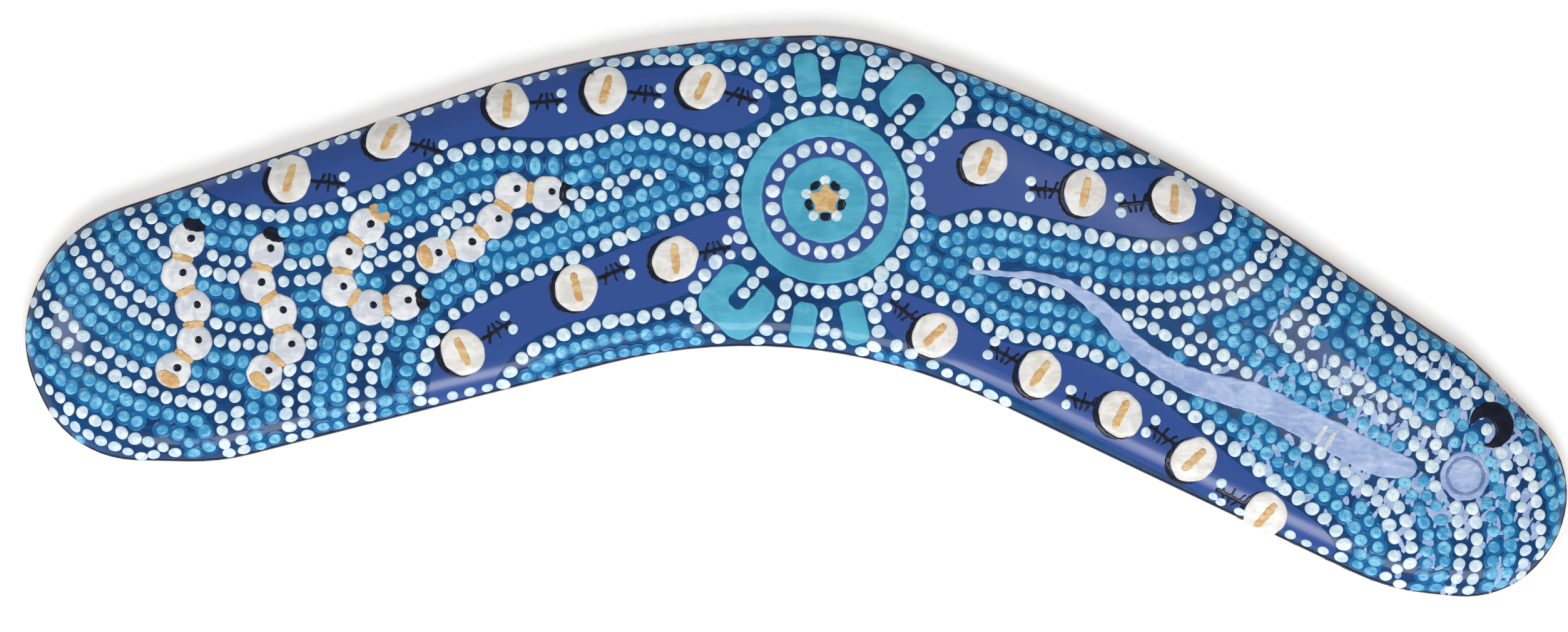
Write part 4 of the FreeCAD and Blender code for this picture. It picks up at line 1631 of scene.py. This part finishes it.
    def build(self) -> list[Object]:
        """Lays all the dots.

        Returns:
            The new pieces.
        """
        self.survey()
        self.set_dashes()
        self.set_slots()
        self.set_borders()
        self.set_rim()
        self.set_rows()
        self.fill_gaps()
        made = [self.wash()]
        for paint, drops in self.drops.items():
            colour = Paint.SKY if paint is RowPaint.SKY else Paint.WHITE
            for arm, left in (("left", True), ("right", False)):
                pile = Pile()
                for drop in drops:
                    if (drop.x < 0) == left:
                        drop.lay(self.side, pile)
                name = f"{paint.value}_dots_{arm}_arm"
                made.append(pile.piece(name, colour, self.effects))
                LOG.info("%s: %d faces", name, len(pile.faces))
        LOG.info("%d dots", sum(len(cell) for cell in self.taken.values()))
        return made


# ---------------------------------------------------------------- ground and wood


def dress(node: str, material: Material) -> Object:
    """Gives a CAD node its finish, and gives back the node.

    Args:
        node: the CAD node's name.
        material: the finish.

    Returns:
        The node's object.
    """
    item = frame["nodes"][node]
    item.data.materials.clear()
    item.data.materials.append(material)
    return item


@dataclass
class Ground:
    """The two colours of paint under the marks."""

    effects: Effects

    def build(self) -> list[Object]:
        """Paints the base coat and the panels.

        Returns:
            The two CAD nodes.
        """
        layers = (("base_coat", Paint.GROUND), ("navy_panels", Paint.NAVY))
        return [dress(node, paint.build(self.effects)) for node, paint in layers]


@dataclass
class Blank:
    """The glued veneers of the blank."""

    effects: Effects
    veneers: tuple = ("ply_1_long_grain", "ply_2_cross_grain", "ply_3_long_grain",
                      "ply_4_cross_grain", "ply_5_long_grain", "ply_6_cross_grain",
                      "ply_7_long_grain")

    def build(self) -> None:
        """Dresses each veneer in birch, with the grain by turns along and across the span."""
        long_grain = VeneerFinish("birch_long_grain", Grain.LONG, tone(226, 190, 140),
                                  tone(196, 150, 98), tone(140, 96, 56)).material(self.effects)
        cross_grain = VeneerFinish("birch_cross_grain", Grain.CROSS, tone(200, 156, 108),
                                   tone(160, 112, 68), tone(104, 66, 36)).material(self.effects)
        for node in self.veneers:
            dress(node, long_grain if "long" in node else cross_grain)


# ---------------------------------------------------------------- studio


@dataclass
class Studio:
    """A pale floor, soft lights and a camera that looks straight down. Each softbox has its name,
    its place, its width and height, and its power in watts."""

    centre: tuple = (-0.01066, -0.0301)
    camera_height: float = 0.9690
    lens: float = 85.0
    floor_size: float = 3.0
    floor_drop: float = 0.4 * MM
    floor_white: tuple = (0.94, 0.94, 0.94, 1.0)
    floor_glow: float = 0.2
    air: float = 0.38
    softboxes: tuple = (("softbox_right", (0.36, 0.06, 1.35), (0.30, 0.24), 1.3),
                        ("softbox_left", (-0.85, 0.0, 1.35), (0.40, 0.4), 4.0),
                        ("softbox_front", (0.1, -1.7, 1.5), (1.6, 0.8), 31.0))

    def floor(self) -> Object:
        """Lays the floor just under the flat back.

        Returns:
            The floor.
        """
        mesh = bpy.data.meshes.new("studio_floor")
        half = self.floor_size / 2
        corners = [(-half, -half), (half, -half), (half, half), (-half, half)]
        mesh.from_pydata([(x, y, -self.floor_drop) for x, y in corners], [], [[0, 1, 2, 3]])
        made = bpy.data.materials.new("studio_white")
        made.use_nodes = True
        shader = made.node_tree.nodes["Principled BSDF"]
        settings = {"Base Color": self.floor_white, "Roughness": 0.9, "Specular IOR Level": 0.1,
                    "Emission Color": (1.0, 1.0, 1.0, 1.0), "Emission Strength": self.floor_glow}
        for socket, value in settings.items():
            shader.inputs[socket].default_value = value
        mesh.materials.append(made)
        item = bpy.data.objects.new("studio_floor", mesh)
        bpy.context.scene.collection.objects.link(item)
        item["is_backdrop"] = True
        return item

    def light(self, name: str, place: tuple, size: tuple, power: float) -> Object:
        """Hangs a softbox that points at the object.

        Args:
            name: the light's name.
            place: where it hangs.
            size: its width and its height.
            power: its power in watts.

        Returns:
            The light.
        """
        lamp = bpy.data.lights.new(name, "AREA")
        lamp.shape = "RECTANGLE"
        lamp.size, lamp.size_y = size
        lamp.energy = power
        item = bpy.data.objects.new(name, lamp)
        item.location = place
        aim = Vector((*self.centre, 0.0)) - Vector(place)
        item.rotation_euler = aim.to_track_quat("-Z", "Y").to_euler()
        bpy.context.scene.collection.objects.link(item)
        return item

    def build(self) -> None:
        """Sets up the studio."""
        self.floor()
        for box in self.softboxes:
            self.light(*box)
        world = bpy.data.worlds.new("studio_air")
        world.use_nodes = True
        world.node_tree.nodes["Background"].inputs[0].default_value = (1.0, 1.0, 1.0, 1.0)
        world.node_tree.nodes["Background"].inputs[1].default_value = self.air
        bpy.context.scene.world = world
        lens = bpy.data.cameras.new("camera")
        lens.lens = self.lens
        lens.sensor_width = 36.0
        item = bpy.data.objects.new("camera", lens)
        item.location = (*self.centre, self.camera_height)
        bpy.context.scene.collection.objects.link(item)
        bpy.context.scene.camera = item
        bpy.context.scene.view_settings.view_transform = "Standard"


def main() -> None:
    """Builds the boomerang from the wood up, then the studio."""
    logging.basicConfig(level=logging.INFO, format="%(message)s")
    effects = Effects()
    Blank(effects).build()
    side = PaintedSide(Ground(effects).build())
    LOG.info("ground and wood dressed")
    dots = DotField(effects, side).build()
    marks = Marks(effects, side)
    marks.rim_shade_line()
    marks.scumble()
    marks.first_layer()
    marks.second_layer()
    for piece in dots + marks.pieces:
        LOG.info("%s: %d faces", piece.name, len(piece.data.polygons))
    Studio().build()


if __name__ == "__main__":
    main()
